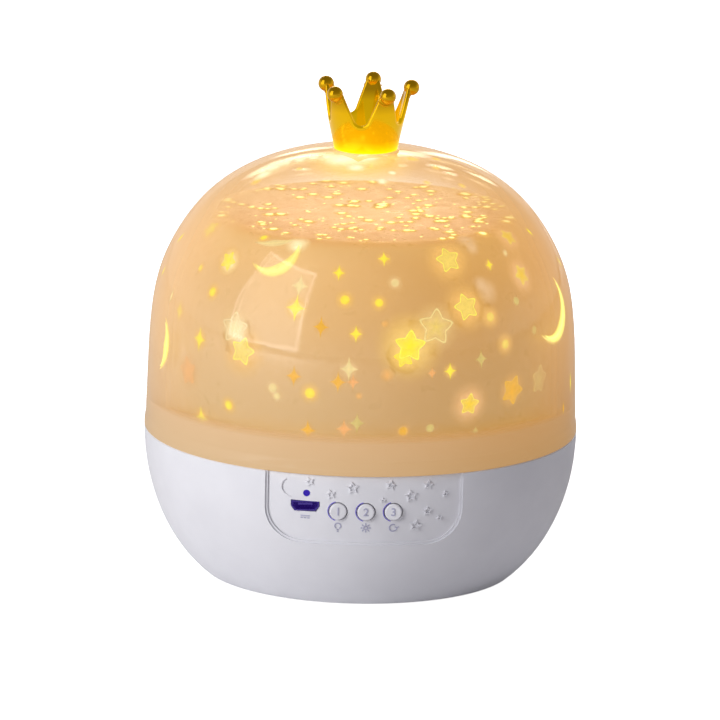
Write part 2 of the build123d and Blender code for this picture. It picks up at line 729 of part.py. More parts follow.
def bulb_lens():
    """Frosted cap over the lamp."""
    straight = 2.4
    centre = LAMP_TOP_Z + straight
    outer = tube(LENS_R, 0, LAMP_TOP_Z, centre) + Pos(0, 0, centre) * Sphere(LENS_R)
    inner = tube(LENS_R - 1.3, 0, LAMP_TOP_Z - 1, centre) + Pos(0, 0, centre) * Sphere(LENS_R - 1.3)
    return (outer - inner) & tube(LENS_R + 1, 0, LAMP_TOP_Z, centre + LENS_R + 1)


# ---------------------------------------------------------------- electronics
def control_board():
    """Board behind the panel."""
    body = block(*BOARD_X, BOARD_Y, BOARD_Y + BOARD_T, *BOARD_Z)
    for x, z in POST_SPOTS:
        body -= along_y(Pos(x, z) * Circle(1.1), BOARD_Y - 1, BOARD_Y + BOARD_T + 1)
    return body


def board_screws():
    """Three screws from behind the board into its posts."""
    body = Rot(-90, 0, 0) * screw(0.85, 3.9, 1.9, 1.0)
    places = [Pos(x, BOARD_Y + BOARD_T, z) for x, z in POST_SPOTS]
    return spread(body, places)


def board_parts():
    """Chips, a capacitor and a plug socket on the back of the board."""
    back = BOARD_Y + BOARD_T
    chips = [
        block(-4, 1, back, back + 1.5, 31, 35),
        block(5, 9, back, back + 1.2, 30, 33),
        block(-12, -9, back, back + 1.0, 24, 26),
        block(-9, 6, back, back + 4.0, 24, 28.2),
        along_y(Pos(11.5, 26) * Circle(2.4), back, back + 6.0),
    ]
    return Compound(children=chips)


def tact_switches():
    """Three switches behind the buttons."""
    cells = []
    for x in BUTTON_X:
        body = block(x - 3, x + 3, BOARD_Y - 3.3, BOARD_Y, BUTTON_Z - 3, BUTTON_Z + 3)
        body += along_y(Pos(x, BUTTON_Z) * Circle(1.6), BOARD_Y - 4.0, BOARD_Y - 3.3)
        cells.append(body)
    return Compound(children=cells)


def usb_socket():
    """Charging socket: thin shell with a contact tongue."""
    front = front_y(PORT_X, PORT_Z, PANEL_DEPTH) + 0.35
    shell = along_y(port_outline(0), front, BOARD_Y)
    shell -= along_y(port_outline(-0.35), front - 1, front + 5.2)
    tongue = block(PORT_X - 1.9, PORT_X + 1.9, front + 0.9, front + 5.2, PORT_Z + 0.05, PORT_Z + 0.6)
    return shell + tongue


def indicator_light():
    """Light guide from the board to the small hole in the panel."""
    front = front_y(LIGHT_X, LIGHT_Z, PANEL_DEPTH) + 0.3
    guide = along_y(Pos(LIGHT_X, LIGHT_Z) * Circle(LIGHT_R), front, BOARD_Y)
    return guide + along_y(Pos(LIGHT_X, LIGHT_Z) * Circle(1.5), BOARD_Y - 1.6, BOARD_Y)


def push_button(x):
    """Button: proud cap, guide, flange behind the panel and stem."""
    front = front_y(x, BUTTON_Z, PANEL_DEPTH) - BUTTON_PROUD
    cap = along_y(Circle(BUTTON_CAP_R), front, BUTTON_STOP_Y)
    cap = fillet(cap.edges().filter_by(GeomType.CIRCLE).sort_by(Axis.Y)[:1], 0.45)
    body = cap + along_y(Circle(BUTTON_GUIDE_R), front + 1.9, BUTTON_STOP_Y)
    body += along_y(Circle(BUTTON_FLANGE_R), BUTTON_STOP_Y, BUTTON_STOP_Y + 0.7)
    body += along_y(Circle(1.3), BUTTON_STOP_Y + 0.6, BUTTON_STOP_Y + 1.0)
    return Pos(x, 0, BUTTON_Z) * body


# ---------------------------------------------------------------- power
def battery():
    """Rechargeable cell lying along X."""
    cell = Rot(0, 90, 0) * Cylinder(BATTERY_R, BATTERY_L)
    cell += Pos(BATTERY_L / 2 + 0.3, 0, 0) * Rot(0, 90, 0) * Cylinder(2.2, 0.6)
    return Pos(0, BATTERY_Y, BATTERY_Z) * cell


def battery_holder():
    """Cradle on the bottom plate with a wall at either end."""
    inner = BATTERY_L / 2 + SPRING_ROOM
    outer = inner + 2.0
    half = BATTERY_R + CRADLE_T
    y0 = BATTERY_Y - half
    y1 = BATTERY_Y + half
    body = block(-outer, outer, y0, y1, PLATE_TOP, BATTERY_Z)
    body -= Pos(0, BATTERY_Y, BATTERY_Z) * Rot(0, 90, 0) * Cylinder(BATTERY_R + 0.15, 2 * inner)
    body -= block(-inner + 8, inner - 8, BATTERY_Y - 3, BATTERY_Y + 3, PLATE_TOP - 1, BATTERY_Z)
    for side in (-1, 1):
        x0, x1 = sorted((side * inner, side * outer))
        body += block(x0, x1, y0 + 2, y1 - 2, BATTERY_Z, BATTERY_Z + 5)
    return body


def battery_contacts():
    """Contact plate at one end of the cell and a spring plate at the other."""
    inner = BATTERY_L / 2 + SPRING_ROOM
    plates = []
    for side in (-1, 1):
        near = side * (inner - 0.5)
        x0, x1 = sorted((near, side * inner))
        plate = block(x0, x1, BATTERY_Y - 4, BATTERY_Y + 4, BATTERY_Z - 4, BATTERY_Z + 6)
        reach = 0.3 if side > 0 else 0.9
        knob = Pos(near - side * reach / 2, BATTERY_Y, BATTERY_Z) * Rot(0, 90, 0) * Cylinder(1.8, reach)
        plates.append(plate + knob)
    return Compound(children=plates)


def lead(points, spacing, start, end):
    """Two insulated wires side by side along a curve with given directions at its ends."""
    wires = []
    for shift in (-spacing / 2, spacing / 2):
        path = Spline(*[(x + shift, y, z) for x, y, z in points], tangents=[start, end])
        section = Plane(path @ 0, z_dir=path % 0) * Circle(0.6)
        wires.append(sweep(section, path))
    return Compound(children=wires)


def lamp_lead():
    """Wires from the control board up the post to the lamp."""
    back = BOARD_Y + BOARD_T + 4.0
    points = [
        (-3, back, 26),
        (-3, back + 8, 27),
        (-1, -14, 29),
        (0, -4, DECK_Z - 0.7),
        (0, 0, LAMP_Z + 4),
        (0, 0, LAMP_TOP_Z),
    ]
    return lead(points, 1.6, (0, 1, 0), (0, 0, 1))


def motor_lead():
    """Wires from the motor's end cap to the control board."""
    low = GEARBOX_Z - MOTOR_H
    back = BOARD_Y + BOARD_T + 4.0
    points = [
        (0, CENTRE_GAP - MOTOR_R - 0.15, low + 5),
        (1, CENTRE_GAP - MOTOR_R - 6, low + 6),
        (3, 4, 24),
        (4, -20, 24),
        (3, back + 7, 26),
        (3, back, 26),
    ]
    return lead(points, 1.6, (0, -1, 0), (0, -1, 0))


def battery_lead():
    """Wires from the battery contacts to the control board."""
    inner = BATTERY_L / 2 + SPRING_ROOM
    top = BATTERY_Z + 6
    back = BOARD_Y + BOARD_T + 1.0
    wires = []
    for side, end_x in ((-1, -11.2), (1, -9.8)):
        path = Spline(
            (side * (inner - 0.7), BATTERY_Y - 4.7, top - 1),
            (side * (inner - 3), BATTERY_Y - 12, top + 1),
            (end_x + side * 5, back + 10, 22),
            (end_x, back, 25),
            tangents=[(0, -1, 0), (0, -1, 0)],
        )
        section = Plane(path @ 0, z_dir=path % 0) * Circle(0.5)
        wires.append(sweep(section, path))
    return Compound(children=wires)


# ---------------------------------------------------------------- export
def all_pieces():
    """Every piece by its name."""
    return {
        "base_bowl": base_bowl(),
        "bottom_cover": bottom_cover(),
        "rubber_feet": rubber_feet(),
        "bottom_screws": bottom_screws(),
        "deck_plate": deck_plate(),
        "deck_screws": deck_screws(),
        "turntable": turntable(),
        "drive_pinion": drive_pinion(),
        "output_shaft": output_shaft(),
        "gearbox": gearbox(),
        "motor": motor(),
        "motor_screws": motor_screws(),
        "film_cup": film_cup(),
        "dome_cover": dome_cover(),
        "crown": crown(),
        "crown_clip": crown_clip(),
        "lamp_post": lamp_post(),
        "lamp_screws": lamp_screws(),
        "led_board": led_board(),
        "led_emitters": led_emitters(),
        "bulb_lens": bulb_lens(),
        "control_board": control_board(),
        "board_screws": board_screws(),
        "board_parts": board_parts(),
        "tact_switches": tact_switches(),
        "usb_socket": usb_socket(),
        "indicator_light": indicator_light(),
        "button_lamp": push_button(BUTTON_X[0]),
        "button_colour": push_button(BUTTON_X[1]),
        "button_turn": push_button(BUTTON_X[2]),
        "battery": battery(),
        "battery_holder": battery_holder(),
        "battery_contacts": battery_contacts(),
        "lamp_lead": lamp_lead(),
        "motor_lead": motor_lead(),
        "battery_lead": battery_lead(),
    }


os.makedirs("parts", exist_ok=True)
for name, piece in all_pieces().items():
    export_step(piece, f"parts/{name}.step")
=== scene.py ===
"""Looks of the star night light projector, built round its CAD frame. Lengths are in metres."""

import json
import random
from math import asin, atan2, cos, degrees, dist, hypot, pi, radians, sin, sqrt

import bmesh
import bpy
from mathutils import Matrix, Vector
from mathutils.bvhtree import BVHTree


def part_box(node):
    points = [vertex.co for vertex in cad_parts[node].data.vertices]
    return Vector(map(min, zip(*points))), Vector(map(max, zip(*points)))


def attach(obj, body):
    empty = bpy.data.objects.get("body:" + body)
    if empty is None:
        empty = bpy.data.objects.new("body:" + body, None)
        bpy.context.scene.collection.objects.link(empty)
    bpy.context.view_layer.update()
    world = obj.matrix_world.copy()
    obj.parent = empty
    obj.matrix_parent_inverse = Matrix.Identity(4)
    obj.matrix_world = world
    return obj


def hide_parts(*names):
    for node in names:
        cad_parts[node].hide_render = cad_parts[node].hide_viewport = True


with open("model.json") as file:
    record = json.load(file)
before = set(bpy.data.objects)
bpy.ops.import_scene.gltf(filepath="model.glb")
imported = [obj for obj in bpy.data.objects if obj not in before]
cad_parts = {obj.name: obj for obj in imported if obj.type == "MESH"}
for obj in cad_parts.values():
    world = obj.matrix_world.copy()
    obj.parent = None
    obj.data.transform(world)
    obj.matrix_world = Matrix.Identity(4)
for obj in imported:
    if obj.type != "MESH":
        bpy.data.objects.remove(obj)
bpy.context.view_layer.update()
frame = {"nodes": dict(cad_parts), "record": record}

MM = 0.001
scene = bpy.context.scene


def new_object(name, data):
    """Adds an object to the scene."""
    obj = bpy.data.objects.new(name, data)
    scene.collection.objects.link(obj)
    return obj


def polar(angle, radius, height):
    """Point given by its angle round Z, its radius and its height."""
    return Vector((radius * cos(angle), radius * sin(angle), height))


# ------ camera
PICTURE = 720
PX_PER_M = 3700.0  # picture pixels per metre at AIM, which shows at AIM_PX
DISTANCE = 2.6
ELEVATION = radians(13.06)
AZIMUTH = radians(-1.44)
ROLL = radians(1.1)
AIM = Vector((0, 0, 0.0675))
AIM_PX = (362.3, 325.0)


def camera_axes():
    """Right, up and backward directions of the camera."""
    level = cos(ELEVATION)
    back = Vector((sin(AZIMUTH) * level, -cos(AZIMUTH) * level, sin(ELEVATION)))
    right = Vector((cos(AZIMUTH), sin(AZIMUTH), 0))
    up = back.cross(right)
    turned_right = right * cos(ROLL) + up * sin(ROLL)
    turned_up = up * cos(ROLL) - right * sin(ROLL)
    return turned_right, turned_up, back


RIGHT, UP, BACK = camera_axes()
EYE = AIM + BACK * DISTANCE


def make_camera():
    """Long lens, a little above the table."""
    data = bpy.data.cameras.new("camera")
    data.sensor_width = 36
    data.lens = PX_PER_M * DISTANCE / PICTURE * data.sensor_width
    data.shift_x = (PICTURE / 2 - AIM_PX[0]) / PICTURE
    data.shift_y = (AIM_PX[1] - PICTURE / 2) / PICTURE
    data.clip_end = 20
    cam = new_object("camera", data)
    rotation = Matrix((RIGHT, UP, BACK)).transposed().to_4x4()
    cam.matrix_world = Matrix.Translation(EYE) @ rotation
    scene.camera = cam


def pixel_ray(px, py):
    """Ray from the camera through a place of the picture."""
    across = (px - AIM_PX[0]) / PX_PER_M
    above = (AIM_PX[1] - py) / PX_PER_M
    point = AIM + RIGHT * across + UP * above
    return EYE, (point - EYE).normalized()


# ------ material helpers
class Nodes:
    """Small helper that adds nodes to one tree."""

    space = "Object"

    def __init__(self, tree):
        self.tree = tree
        self.nodes = tree.nodes

    def feed(self, socket, value):
        """Links an output to a socket, or sets the socket to a number or a colour."""
        if isinstance(value, bpy.types.NodeSocket):
            self.tree.links.new(value, socket)
        elif socket.type == "RGBA":
            socket.default_value = (*value, 1)
        else:
            socket.default_value = value

    def add(self, kind, feeds=None, **settings):
        """Adds a node with properties from settings and inputs, by name or number, from feeds."""
        node = self.nodes.new(kind)
        for key, value in settings.items():
            setattr(node, key, value)
        for key, value in (feeds or {}).items():
            self.feed(node.inputs[key], value)
        return node

    def place(self):
        """Place on the object, in metres; in the world, the direction."""
        return self.add("ShaderNodeTexCoord").outputs[self.space]

    def axis(self, letter):
        """One coordinate of the place on the object."""
        return self.add("ShaderNodeSeparateXYZ", {0: self.place()}).outputs[letter]

    def noise(self, scale, detail=3):
        """Noise with features of about 1 / scale metres."""
        feeds = {"Scale": scale, "Detail": detail, "Vector": self.place()}
        return self.add("ShaderNodeTexNoise", feeds).outputs["Fac"]

    def math(self, operation, first, second=0.0):
        """Sum, product and so on of two values."""
        return self.add("ShaderNodeMath", {0: first, 1: second}, operation=operation).outputs[0]

    def span(self, value, low, high, to_low=0.0, to_high=1.0):
        """Maps a value from one range to another, held at the ends."""
        names = ("Value", "From Min", "From Max", "To Min", "To Max")
        feeds = dict(zip(names, (value, low, high, to_low, to_high)))
        return self.add("ShaderNodeMapRange", feeds, clamp=True).outputs["Result"]

    def wander(self, noise, low, high):
        """Spreads a noise between two values."""
        return self.span(noise, 0.3, 0.7, low, high)

    def ramp(self, value, stops):
        """Colour ramp over (position, colour) stops."""
        node = self.add("ShaderNodeValToRGB", {"Fac": value})
        elements = node.color_ramp.elements
        while len(elements) < len(stops):
            elements.new(1.0)
        for element, (position, colour) in zip(elements, stops):
            element.position = position
            element.color = (*colour, 1)
        return node.outputs["Color"]

    def mix_colour(self, factor, first, second):
        """Mixes two colours; each is an output or a plain colour."""
        feeds = {"Factor": factor, 6: first, 7: second}
        return self.add("ShaderNodeMix", feeds, data_type="RGBA").outputs[2]

    def mix_shader(self, factor, first, second):
        """Mixes two shaders."""
        return self.add("ShaderNodeMixShader", {0: factor, 1: first, 2: second}).outputs[0]


class Shader(Nodes):
    """One material with its main surface."""

    def __init__(self, name):
        self.material = bpy.data.materials.new(name)
        self.material.use_nodes = True
        super().__init__(self.material.node_tree)
        self.surface = self.nodes["Principled BSDF"]

    def put(self, name, value):
        """Sets an input of the main surface."""
        self.feed(self.surface.inputs[name], value)

    def glow(self, colour, strength=1.0):
        """Light that the main surface gives off."""
        self.put("Emission Color", colour)
        self.put("Emission Strength", strength)

    def bump(self, height, strength, distance):
        """Fine relief on the main surface."""
        feeds = {"Strength": strength, "Distance": distance, "Height": height}
        self.put("Normal", self.add("ShaderNodeBump", feeds).outputs["Normal"])

    def show(self, shader):
        """Shows this shader instead of the main surface."""
        self.feed(self.nodes["Material Output"].inputs["Surface"], shader)


def shaded(colour, share):
    """A colour made darker."""
    return tuple(c * share for c in colour)


def greys(stops):
    """Colour stops from (position, grey) stops."""
    return [(position, (grey,) * 3) for position, grey in stops]


def plastic(name, light, dark, rough=(0.3, 0.42), grain=1800, bump=0.04, coat=0.0, caught=None):
    """Moulded plastic: slight mottling, uneven gloss and a fine grain."""
    s = Shader(name)
    s.put("Base Color", s.mix_colour(s.span(s.noise(60, 4), 0.35, 0.65), light, dark))
    s.put("Roughness", s.wander(s.noise(240, 5), *rough))
    s.bump(s.noise(grain, 2), bump, 0.0002)
    if coat:
        s.put("Coat Weight", coat)
        s.put("Coat Roughness", 0.12)
    if caught:
        s.glow(*caught)
    return s.material


def metal(name, light, dark, caught=None):
    """Plated or brushed steel with fine lines drawn across Z."""
    s = Shader(name)
    drawn = s.add("ShaderNodeMapping", {"Scale": (1, 1, 12), "Vector": s.place()}).outputs["Vector"]
    lines = s.add("ShaderNodeTexNoise", {"Scale": 700, "Detail": 4, "Vector": drawn}).outputs["Fac"]
    s.put("Metallic", 1.0)
    s.put("Base Color", s.mix_colour(lines, dark, light))
    s.put("Roughness", s.wander(lines, 0.18, 0.34))
    s.bump(lines, 0.05, 0.0001)
    if caught:
        s.glow(*caught)
    return s.material


# ------ materials of the pieces
CREAM = (0.36, 0.36, 0.31)
SHELL_CREAM = (0.36, 0.34, 0.27)
SHELL_TINT = (0.99, 0.96, 0.91)
GOLD = (0.66, 0.37, 0.01)
DARK_GOLD = (0.6, 0.33, 0.008)

# Glows: (share of the height or of the radius, colour)
GLOW = [
    (0.0, (0.4, 0.23, 0.055)),
    (0.3, (0.42, 0.23, 0.055)),
    (0.6, (0.475, 0.245, 0.05)),
    (0.85, (0.56, 0.29, 0.055)),
    (1.0, (0.62, 0.34, 0.08)),
]
SHELL_GLOW = [
    (0.0, (0.39, 0.18, 0.02)),
    (0.15, (0.45, 0.2, 0.025)),
    (0.4, (0.58, 0.27, 0.045)),
    (0.75, (0.66, 0.31, 0.06)),
    (1.0, (0.72, 0.37, 0.09)),
]
DISC_GLOW = [
    (0.0, (0.58, 0.25, 0.075)),
    (0.5, (0.54, 0.21, 0.055)),
    (0.86, (0.5, 0.2, 0.045)),
    (1.0, (0.62, 0.32, 0.075)),
]
CROWN_GLOW = [
    (0.0, (1.0, 0.85, 0.0)),
    (0.08, (0.66, 0.5, 0.0)),
    (0.18, (0.42, 0.26, 0.0)),
    (0.6, (0.38, 0.22, 0.0)),
    (0.76, (0.12, 0.06, 0.0)),
    (1.0, (0.1, 0.05, 0.0)),
]
DISC_R = 0.0415

# Heights between which a look changes
FILM_Z = (0.045, 0.099)
DISC_Z = (0.0978, 0.0988)  # from the film's wall to its flat top
SHELL_Z = (0.04, 0.112)
COLLAR_Z = (0.0483, 0.0512)  # upper edge of the band that hides the collar
SHOULDER_Z = (0.094, 0.108)  # above it the cover is clearer
CROWN_Z = (0.1164, 0.135)

# The cover's density by how far it turns away from the eye
OUTLINE = [(0.0, 0.04), (0.36, 0.07), (0.64, 0.62), (0.85, 0.95)]


def star_film():
    """Printed film lit from within: warm, lighter on top, with soft clouds of light."""
    s = Shader("star_film")
    x, y, level = (s.axis(letter) for letter in "XYZ")
    radius = s.math("SQRT", s.math("ADD", s.math("POWER", x, 2.0), s.math("POWER", y, 2.0)))
    disc = s.span(level, *DISC_Z)
    disc_light = s.ramp(s.span(radius, 0, DISC_R), DISC_GLOW)
    clouds = s.span(s.noise(26), 0.35, 0.7, -0.1, 0.1)
    wall_light = s.ramp(s.math("ADD", s.span(level, *FILM_Z), clouds), GLOW)
    wall_colour = s.mix_colour(s.noise(60, 2), CREAM, shaded(CREAM, 0.9))
    s.put("Base Color", s.mix_colour(disc, wall_colour, shaded(CREAM, 0.75)))
    s.glow(s.mix_colour(disc, wall_light, disc_light))
    s.put("Roughness", s.wander(s.noise(300), 0.25, 0.4))
    s.bump(s.noise(90, 2), 0.06, 0.0005)
    return s.material


def amber_shell():
    """Clear amber cover: see-through when faced, dense towards its outline, with a glossy skin."""
    s = Shader("amber_clear")
    facing = s.add("ShaderNodeLayerWeight", {"Blend": 0.5}).outputs["Facing"]
    level = s.axis("Z")
    thinned = s.math("MULTIPLY", s.ramp(facing, greys(OUTLINE)), s.span(level, *SHOULDER_Z, 1.0, 0.7))
    density = s.math("MAXIMUM", thinned, s.span(level, *COLLAR_Z, 0.94, 0.0))
    s.put("Base Color", s.mix_colour(s.noise(30, 2), SHELL_CREAM, shaded(SHELL_CREAM, 0.92)))
    s.glow(s.ramp(s.span(level, *SHELL_Z), SHELL_GLOW))
    s.put("Roughness", 0.6)
    s.put("Specular IOR Level", 0.0)
    clear = s.add("ShaderNodeBsdfTransparent", {"Color": SHELL_TINT})
    body = s.mix_shader(density, clear.outputs[0], s.surface.outputs[0])
    gloss = s.add("ShaderNodeBsdfGlossy", {"Roughness": s.wander(s.noise(40, 2), 0.02, 0.05)})
    shine = s.span(s.math("POWER", facing, 5.0), 0, 1, 0.04, 0.5)
    s.show(s.mix_shader(shine, body, gloss.outputs[0]))
    return s.material


def gold_chrome():
    """Gold plating, with yellow light spilling over its lower edge."""
    s = Shader("gold_chrome")
    wear = s.noise(160, 4)
    s.put("Metallic", 1.0)
    s.put("Base Color", s.mix_colour(wear, GOLD, DARK_GOLD))
    s.put("Roughness", s.wander(wear, 0.04, 0.09))
    s.glow(s.ramp(s.span(s.axis("Z"), *CROWN_Z), CROWN_GLOW))
    s.bump(s.noise(220, 2), 0.01, 0.0002)
    return s.material


def printed_light(name, core, rim, strength):
    """Light through a printed motif; the fade attribute thins it towards its edge."""
    s = Shader(name)
    fade = s.add("ShaderNodeAttribute", attribute_name="fade").outputs["Fac"]
    speckle = s.wander(s.noise(900, 2), 0.92, 1.06)
    light = {"Color": s.mix_colour(fade, rim, core), "Strength": s.math("MULTIPLY", speckle, strength)}
    glow = s.add("ShaderNodeEmission", light)
    clear = s.add("ShaderNodeBsdfTransparent")
    s.show(s.mix_shader(s.math("POWER", fade, 1.4), clear.outputs[0], glow.outputs[0]))
    return s.material


def circuit_board(name, mask, track):
    """Solder mask with tracks under it."""
    s = Shader(name)
    colours = {"Color1": mask, "Color2": mask, "Mortar": track}
    sizes = {"Scale": 260, "Mortar Size": 0.03, "Vector": s.place()}
    tracks = s.add("ShaderNodeTexBrick", {**colours, **sizes})
    s.put("Base Color", tracks.outputs["Color"])
    s.put("Roughness", s.wander(s.noise(500), 0.25, 0.4))
    s.bump(tracks.outputs["Fac"], 0.1, 0.0001)
    return s.material


def frosted():
    """Frosted clear cap, softly lit by the lamp below it."""
    s = Shader("frosted_clear")
    s.put("Base Color", (0.95, 0.93, 0.86))
    s.glow((1.0, 0.86, 0.55), 0.5)
    s.put("Roughness", s.wander(s.noise(400), 0.4, 0.6))
    s.bump(s.noise(1500, 2), 0.15, 0.0002)
    return s.material


def lit(name, colour, strength):
    """Small glowing piece with a slightly uneven surface."""
    s = Shader(name)
    s.put("Base Color", s.mix_colour(s.noise(900, 2), colour, shaded(colour, 0.8)))
    s.glow(colour, strength)
    s.put("Roughness", 0.3)
    return s.material


# Moulded pieces: light and dark colour, roughness, grain, its height, clear coat and light caught
PLASTICS = {
    "white_plastic": ((0.8, 0.8, 0.84), (0.76, 0.76, 0.8), (0.34, 0.44), 2600, 0.03, 0.12),
    "rubber": ((0.55, 0.55, 0.57), (0.5, 0.5, 0.52), (0.7, 0.85), 1500, 0.2),
    "gearbox_plastic": ((0.05, 0.05, 0.055), (0.04, 0.04, 0.045)),
    "lamp_plastic": ((0.8, 0.8, 0.8), (0.76, 0.76, 0.76)),
    "chip_black": ((0.025, 0.025, 0.027), (0.02, 0.02, 0.022), (0.4, 0.55)),
    "cell_wrap": ((0.02, 0.1, 0.3), (0.018, 0.085, 0.26), (0.18, 0.3)),
    "wire_red": ((0.45, 0.02, 0.015), (0.4, 0.015, 0.012), (0.4, 0.5)),
    "gear_plastic": ((0.6, 0.6, 0.56), (0.56, 0.56, 0.52), (0.3, 0.4), 1800, 0.04, 0.0, (GLOW[0][1], 0.7)),
    "pinion_plastic": ((0.7, 0.64, 0.45), (0.65, 0.6, 0.42), (0.3, 0.4)),
}
# Metal pieces: light and dark colour and light caught
METALS = {
    "screw_steel": ((0.66, 0.66, 0.68), (0.5, 0.5, 0.53)),
    "motor_steel": ((0.62, 0.63, 0.65), (0.48, 0.49, 0.52)),
    # The socket's steel is coloured deep indigo: painted shade inside the port and painted blue light of
    # the indicator; its faint blue glow is painted light too
    "socket_steel": ((0.13, 0.1, 0.4), (0.07, 0.05, 0.26), ((0.1, 0.02, 0.6), 0.08)),
}


def node_materials():
    """One procedural material for every material slot of the record."""
    plain = {name: plastic(name, *look) for name, look in PLASTICS.items()}
    plain.update((name, metal(name, *look)) for name, look in METALS.items())
    return {
        **plain,
        "board_white": circuit_board("board_white", (0.8, 0.8, 0.77), (0.7, 0.69, 0.64)),
        "board_green": circuit_board("board_green", (0.02, 0.12, 0.045), (0.05, 0.2, 0.08)),
        "led_yellow": lit("led_yellow", (1.0, 0.75, 0.25), 1.5),
        "light_guide": lit("light_guide", (0.016, 0.002, 0.26), 0.7),
        "frosted_clear": frosted(),
        "star_film": star_film(),
        "amber_clear": amber_shell(),
        "gold_chrome": gold_chrome(),
    }


def dress_nodes():
    """Gives every CAD node its material."""
    materials = node_materials()
    slots = {part["node"]: part["material_slot"] for part in frame["record"]["subparts"]}
    for name, node in frame["nodes"].items():
        node.data.materials.clear()
        node.data.materials.append(materials[slots[name]])
    return materials


# ------ printed motifs
def surface_of(node):
    """Tree of a node's faces, to lay things on it."""
    mesh = frame["nodes"][node].data
    points = [v.co.copy() for v in mesh.vertices]
    faces = [tuple(p.vertices) for p in mesh.polygons]
    return BVHTree.FromPolygons(points, faces)


def add_piece(name, mesh, body):
    """Adds a mesh as a visible piece on a body."""
    obj = new_object(name, mesh)
    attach(obj, body)


# Heights of the prints above their surface; no two prints or motifs lie in one plane
LIFTS = {"halo": 0.04 * MM, "fill": 0.13 * MM, "line": 0.22 * MM}
KIND_STEP = 0.004 * MM
MOTIF_STEP = 0.0015 * MM
MOTIF_STEPS = 24  # motifs after which the lifts start again
LEVEL_LEAN = 0.3  # where a normal leans less than this from Z, closed motifs keep to X


class Laid:
    """Points and faces laid on one surface and gathered into one mesh."""

    def __init__(self, tree):
        self.tree = tree
        self.points = []
        self.faces = []

    def mesh(self, name, material):
        """The gathered mesh."""
        mesh = bpy.data.meshes.new(name)
        mesh.from_pydata(self.points, [], self.faces)
        mesh.materials.append(material)
        return mesh

    def piece(self, name, material, body, slot):
        """Adds the mesh as a piece that rides on a body."""
        add_piece(name, self.mesh(name, material), body)


class Print(Laid):
    """Thin motifs that follow a surface."""

    def __init__(self, tree, lift):
        super().__init__(tree)
        self.lift = lift
        self.count = 0
        self.fades = []

    def lay(self, spot, outline_rows, turn=0.0, closed=True):
        """Adds rows of (u, v, fade) points round a spot; neighbouring rows are joined by faces."""
        place, normal = spot
        across = Vector((0, 0, 1)).cross(normal)
        if closed and across.length < LEVEL_LEAN:
            across = Vector((1, 0, 0))
        across.normalize()
        upward = normal.cross(across)
        self.count += 1
        rows = [[self.point(place, across, upward, turn, *p) for p in row] for row in outline_rows]
        for first, second in zip(rows, rows[1:]):
            self.join(first, second, closed)

    def point(self, place, across, upward, turn, u, v, fade):
        """One point of a motif, dropped onto the surface."""
        x = u * cos(turn) - v * sin(turn)
        y = u * sin(turn) + v * cos(turn)
        hit, normal, _, _ = self.tree.find_nearest(place + across * x + upward * y)
        self.points.append(hit + normal * (self.lift + MOTIF_STEP * (self.count % MOTIF_STEPS)))
        self.fades.append(fade)
        return len(self.points) - 1

    def join(self, first, second, closed):
        """Faces from a closed row to the next one out, or an open one to the next one in."""
        count = len(second)
        for i in range(count if closed else count - 1):
            j = (i + 1) % count
            if len(first) == 1:
                self.faces.append((first[0], second[i], second[j]))
            elif closed:
                self.faces.append((first[i], second[i], second[j], first[j]))
            else:
                self.faces.append((first[i], first[j], second[j], second[i]))

    def mesh(self, name, material):
        """The gathered mesh, with the fade of every point."""
        mesh = super().mesh(name, material)
        fade = mesh.attributes.new("fade", "FLOAT", "POINT")
        fade.data.foreach_set("value", self.fades)
        mesh.shade_smooth()
        return mesh


def star_reach(angle, size, waist=0.5, soft=0.16):
    """Distance of a rounded five-pointed star's edge from its middle, the first point up."""
    sector = 2 * pi / 5
    off = (angle - pi / 2 + sector / 2) % sector - sector / 2
    half = sector / 2
    off = min(half, hypot(off, soft * half))
    inner = size * waist
    return size * inner * sin(half) / (inner * sin(half - off) + size * sin(off))


def sparkle_reach(angle, size, slim=0.78, power=0.55):
    """Distance of a four-pointed sparkle's edge from its middle; it is taller than wide."""
    c = abs(cos(angle)) / slim
    s = abs(sin(angle))
    return size / ((c**power + s**power) ** (1 / power))


def round_reach(angle, size):
    """Distance of a dot's edge from its middle."""
    return size


def row(reach, size, fade, count=60):
    """Closed row of points at a shape's edge."""
    points = []
    for i in range(count):
        angle = 2 * pi * i / count
        r = reach(angle, size)
        points.append((r * cos(angle), r * sin(angle), fade))
    return points


def filled(reach, size, middle, edge):
    """Filled shape: a fan with a ring round it."""
    return [[(0, 0, middle)], row(reach, size * 0.55, (middle + edge) / 2), row(reach, size, edge)]


def outlined(reach, size, line):
    """Line along a shape's edge, soft at both sides."""
    steps = ((-1.0, 0.0), (-0.6, 1.0), (0.0, 1.0), (0.35, 0.0))
    return [row(reach, size + line * out, fade) for out, fade in steps]


def halo(size):
    """Round glow that fades to nothing."""
    steps = ((0.4, 0.62), (0.7, 0.28), (1.0, 0.0))
    return [[(0, 0, 0.9)], *(row(round_reach, size * share, fade, 32) for share, fade in steps)]


def crescent_rows(radius, thick, sweep, edge, count=40):
    """Crescent as three rows along an arc, the outer one first, thin at both ends."""
    rows = [[], [], []]
    for i in range(count + 1):
        angle = -pi / 2 + sweep * (i / count - 0.5)
        width = thick * sin(pi * i / count)
        for line, inset, fade in zip(rows, (0, width / 2, width), (edge, 1.0, edge)):
            r = radius - inset
            line.append((r * cos(angle), r * sin(angle), fade))
    return rows


def px(value):
    """Length of a number of picture pixels on the object."""
    return value / PX_PER_M


SLIDE_STEPS = 40
SLIDE = 0.01  # share of the way to the middle that a step slides a place


def picture_spot(tree, x_px, y_px):
    """Place on a surface that shows at a place of the picture; one past its edge slides inwards."""
    for step in range(SLIDE_STEPS):
        pull = 1 - step * SLIDE
        origin, direction = pixel_ray(AIM_PX[0] + (x_px - AIM_PX[0]) * pull, y_px)
        hit, normal, _, _ = tree.ray_cast(origin, direction)
        if hit is not None:
            return hit, normal
    raise ValueError("no surface at that place")


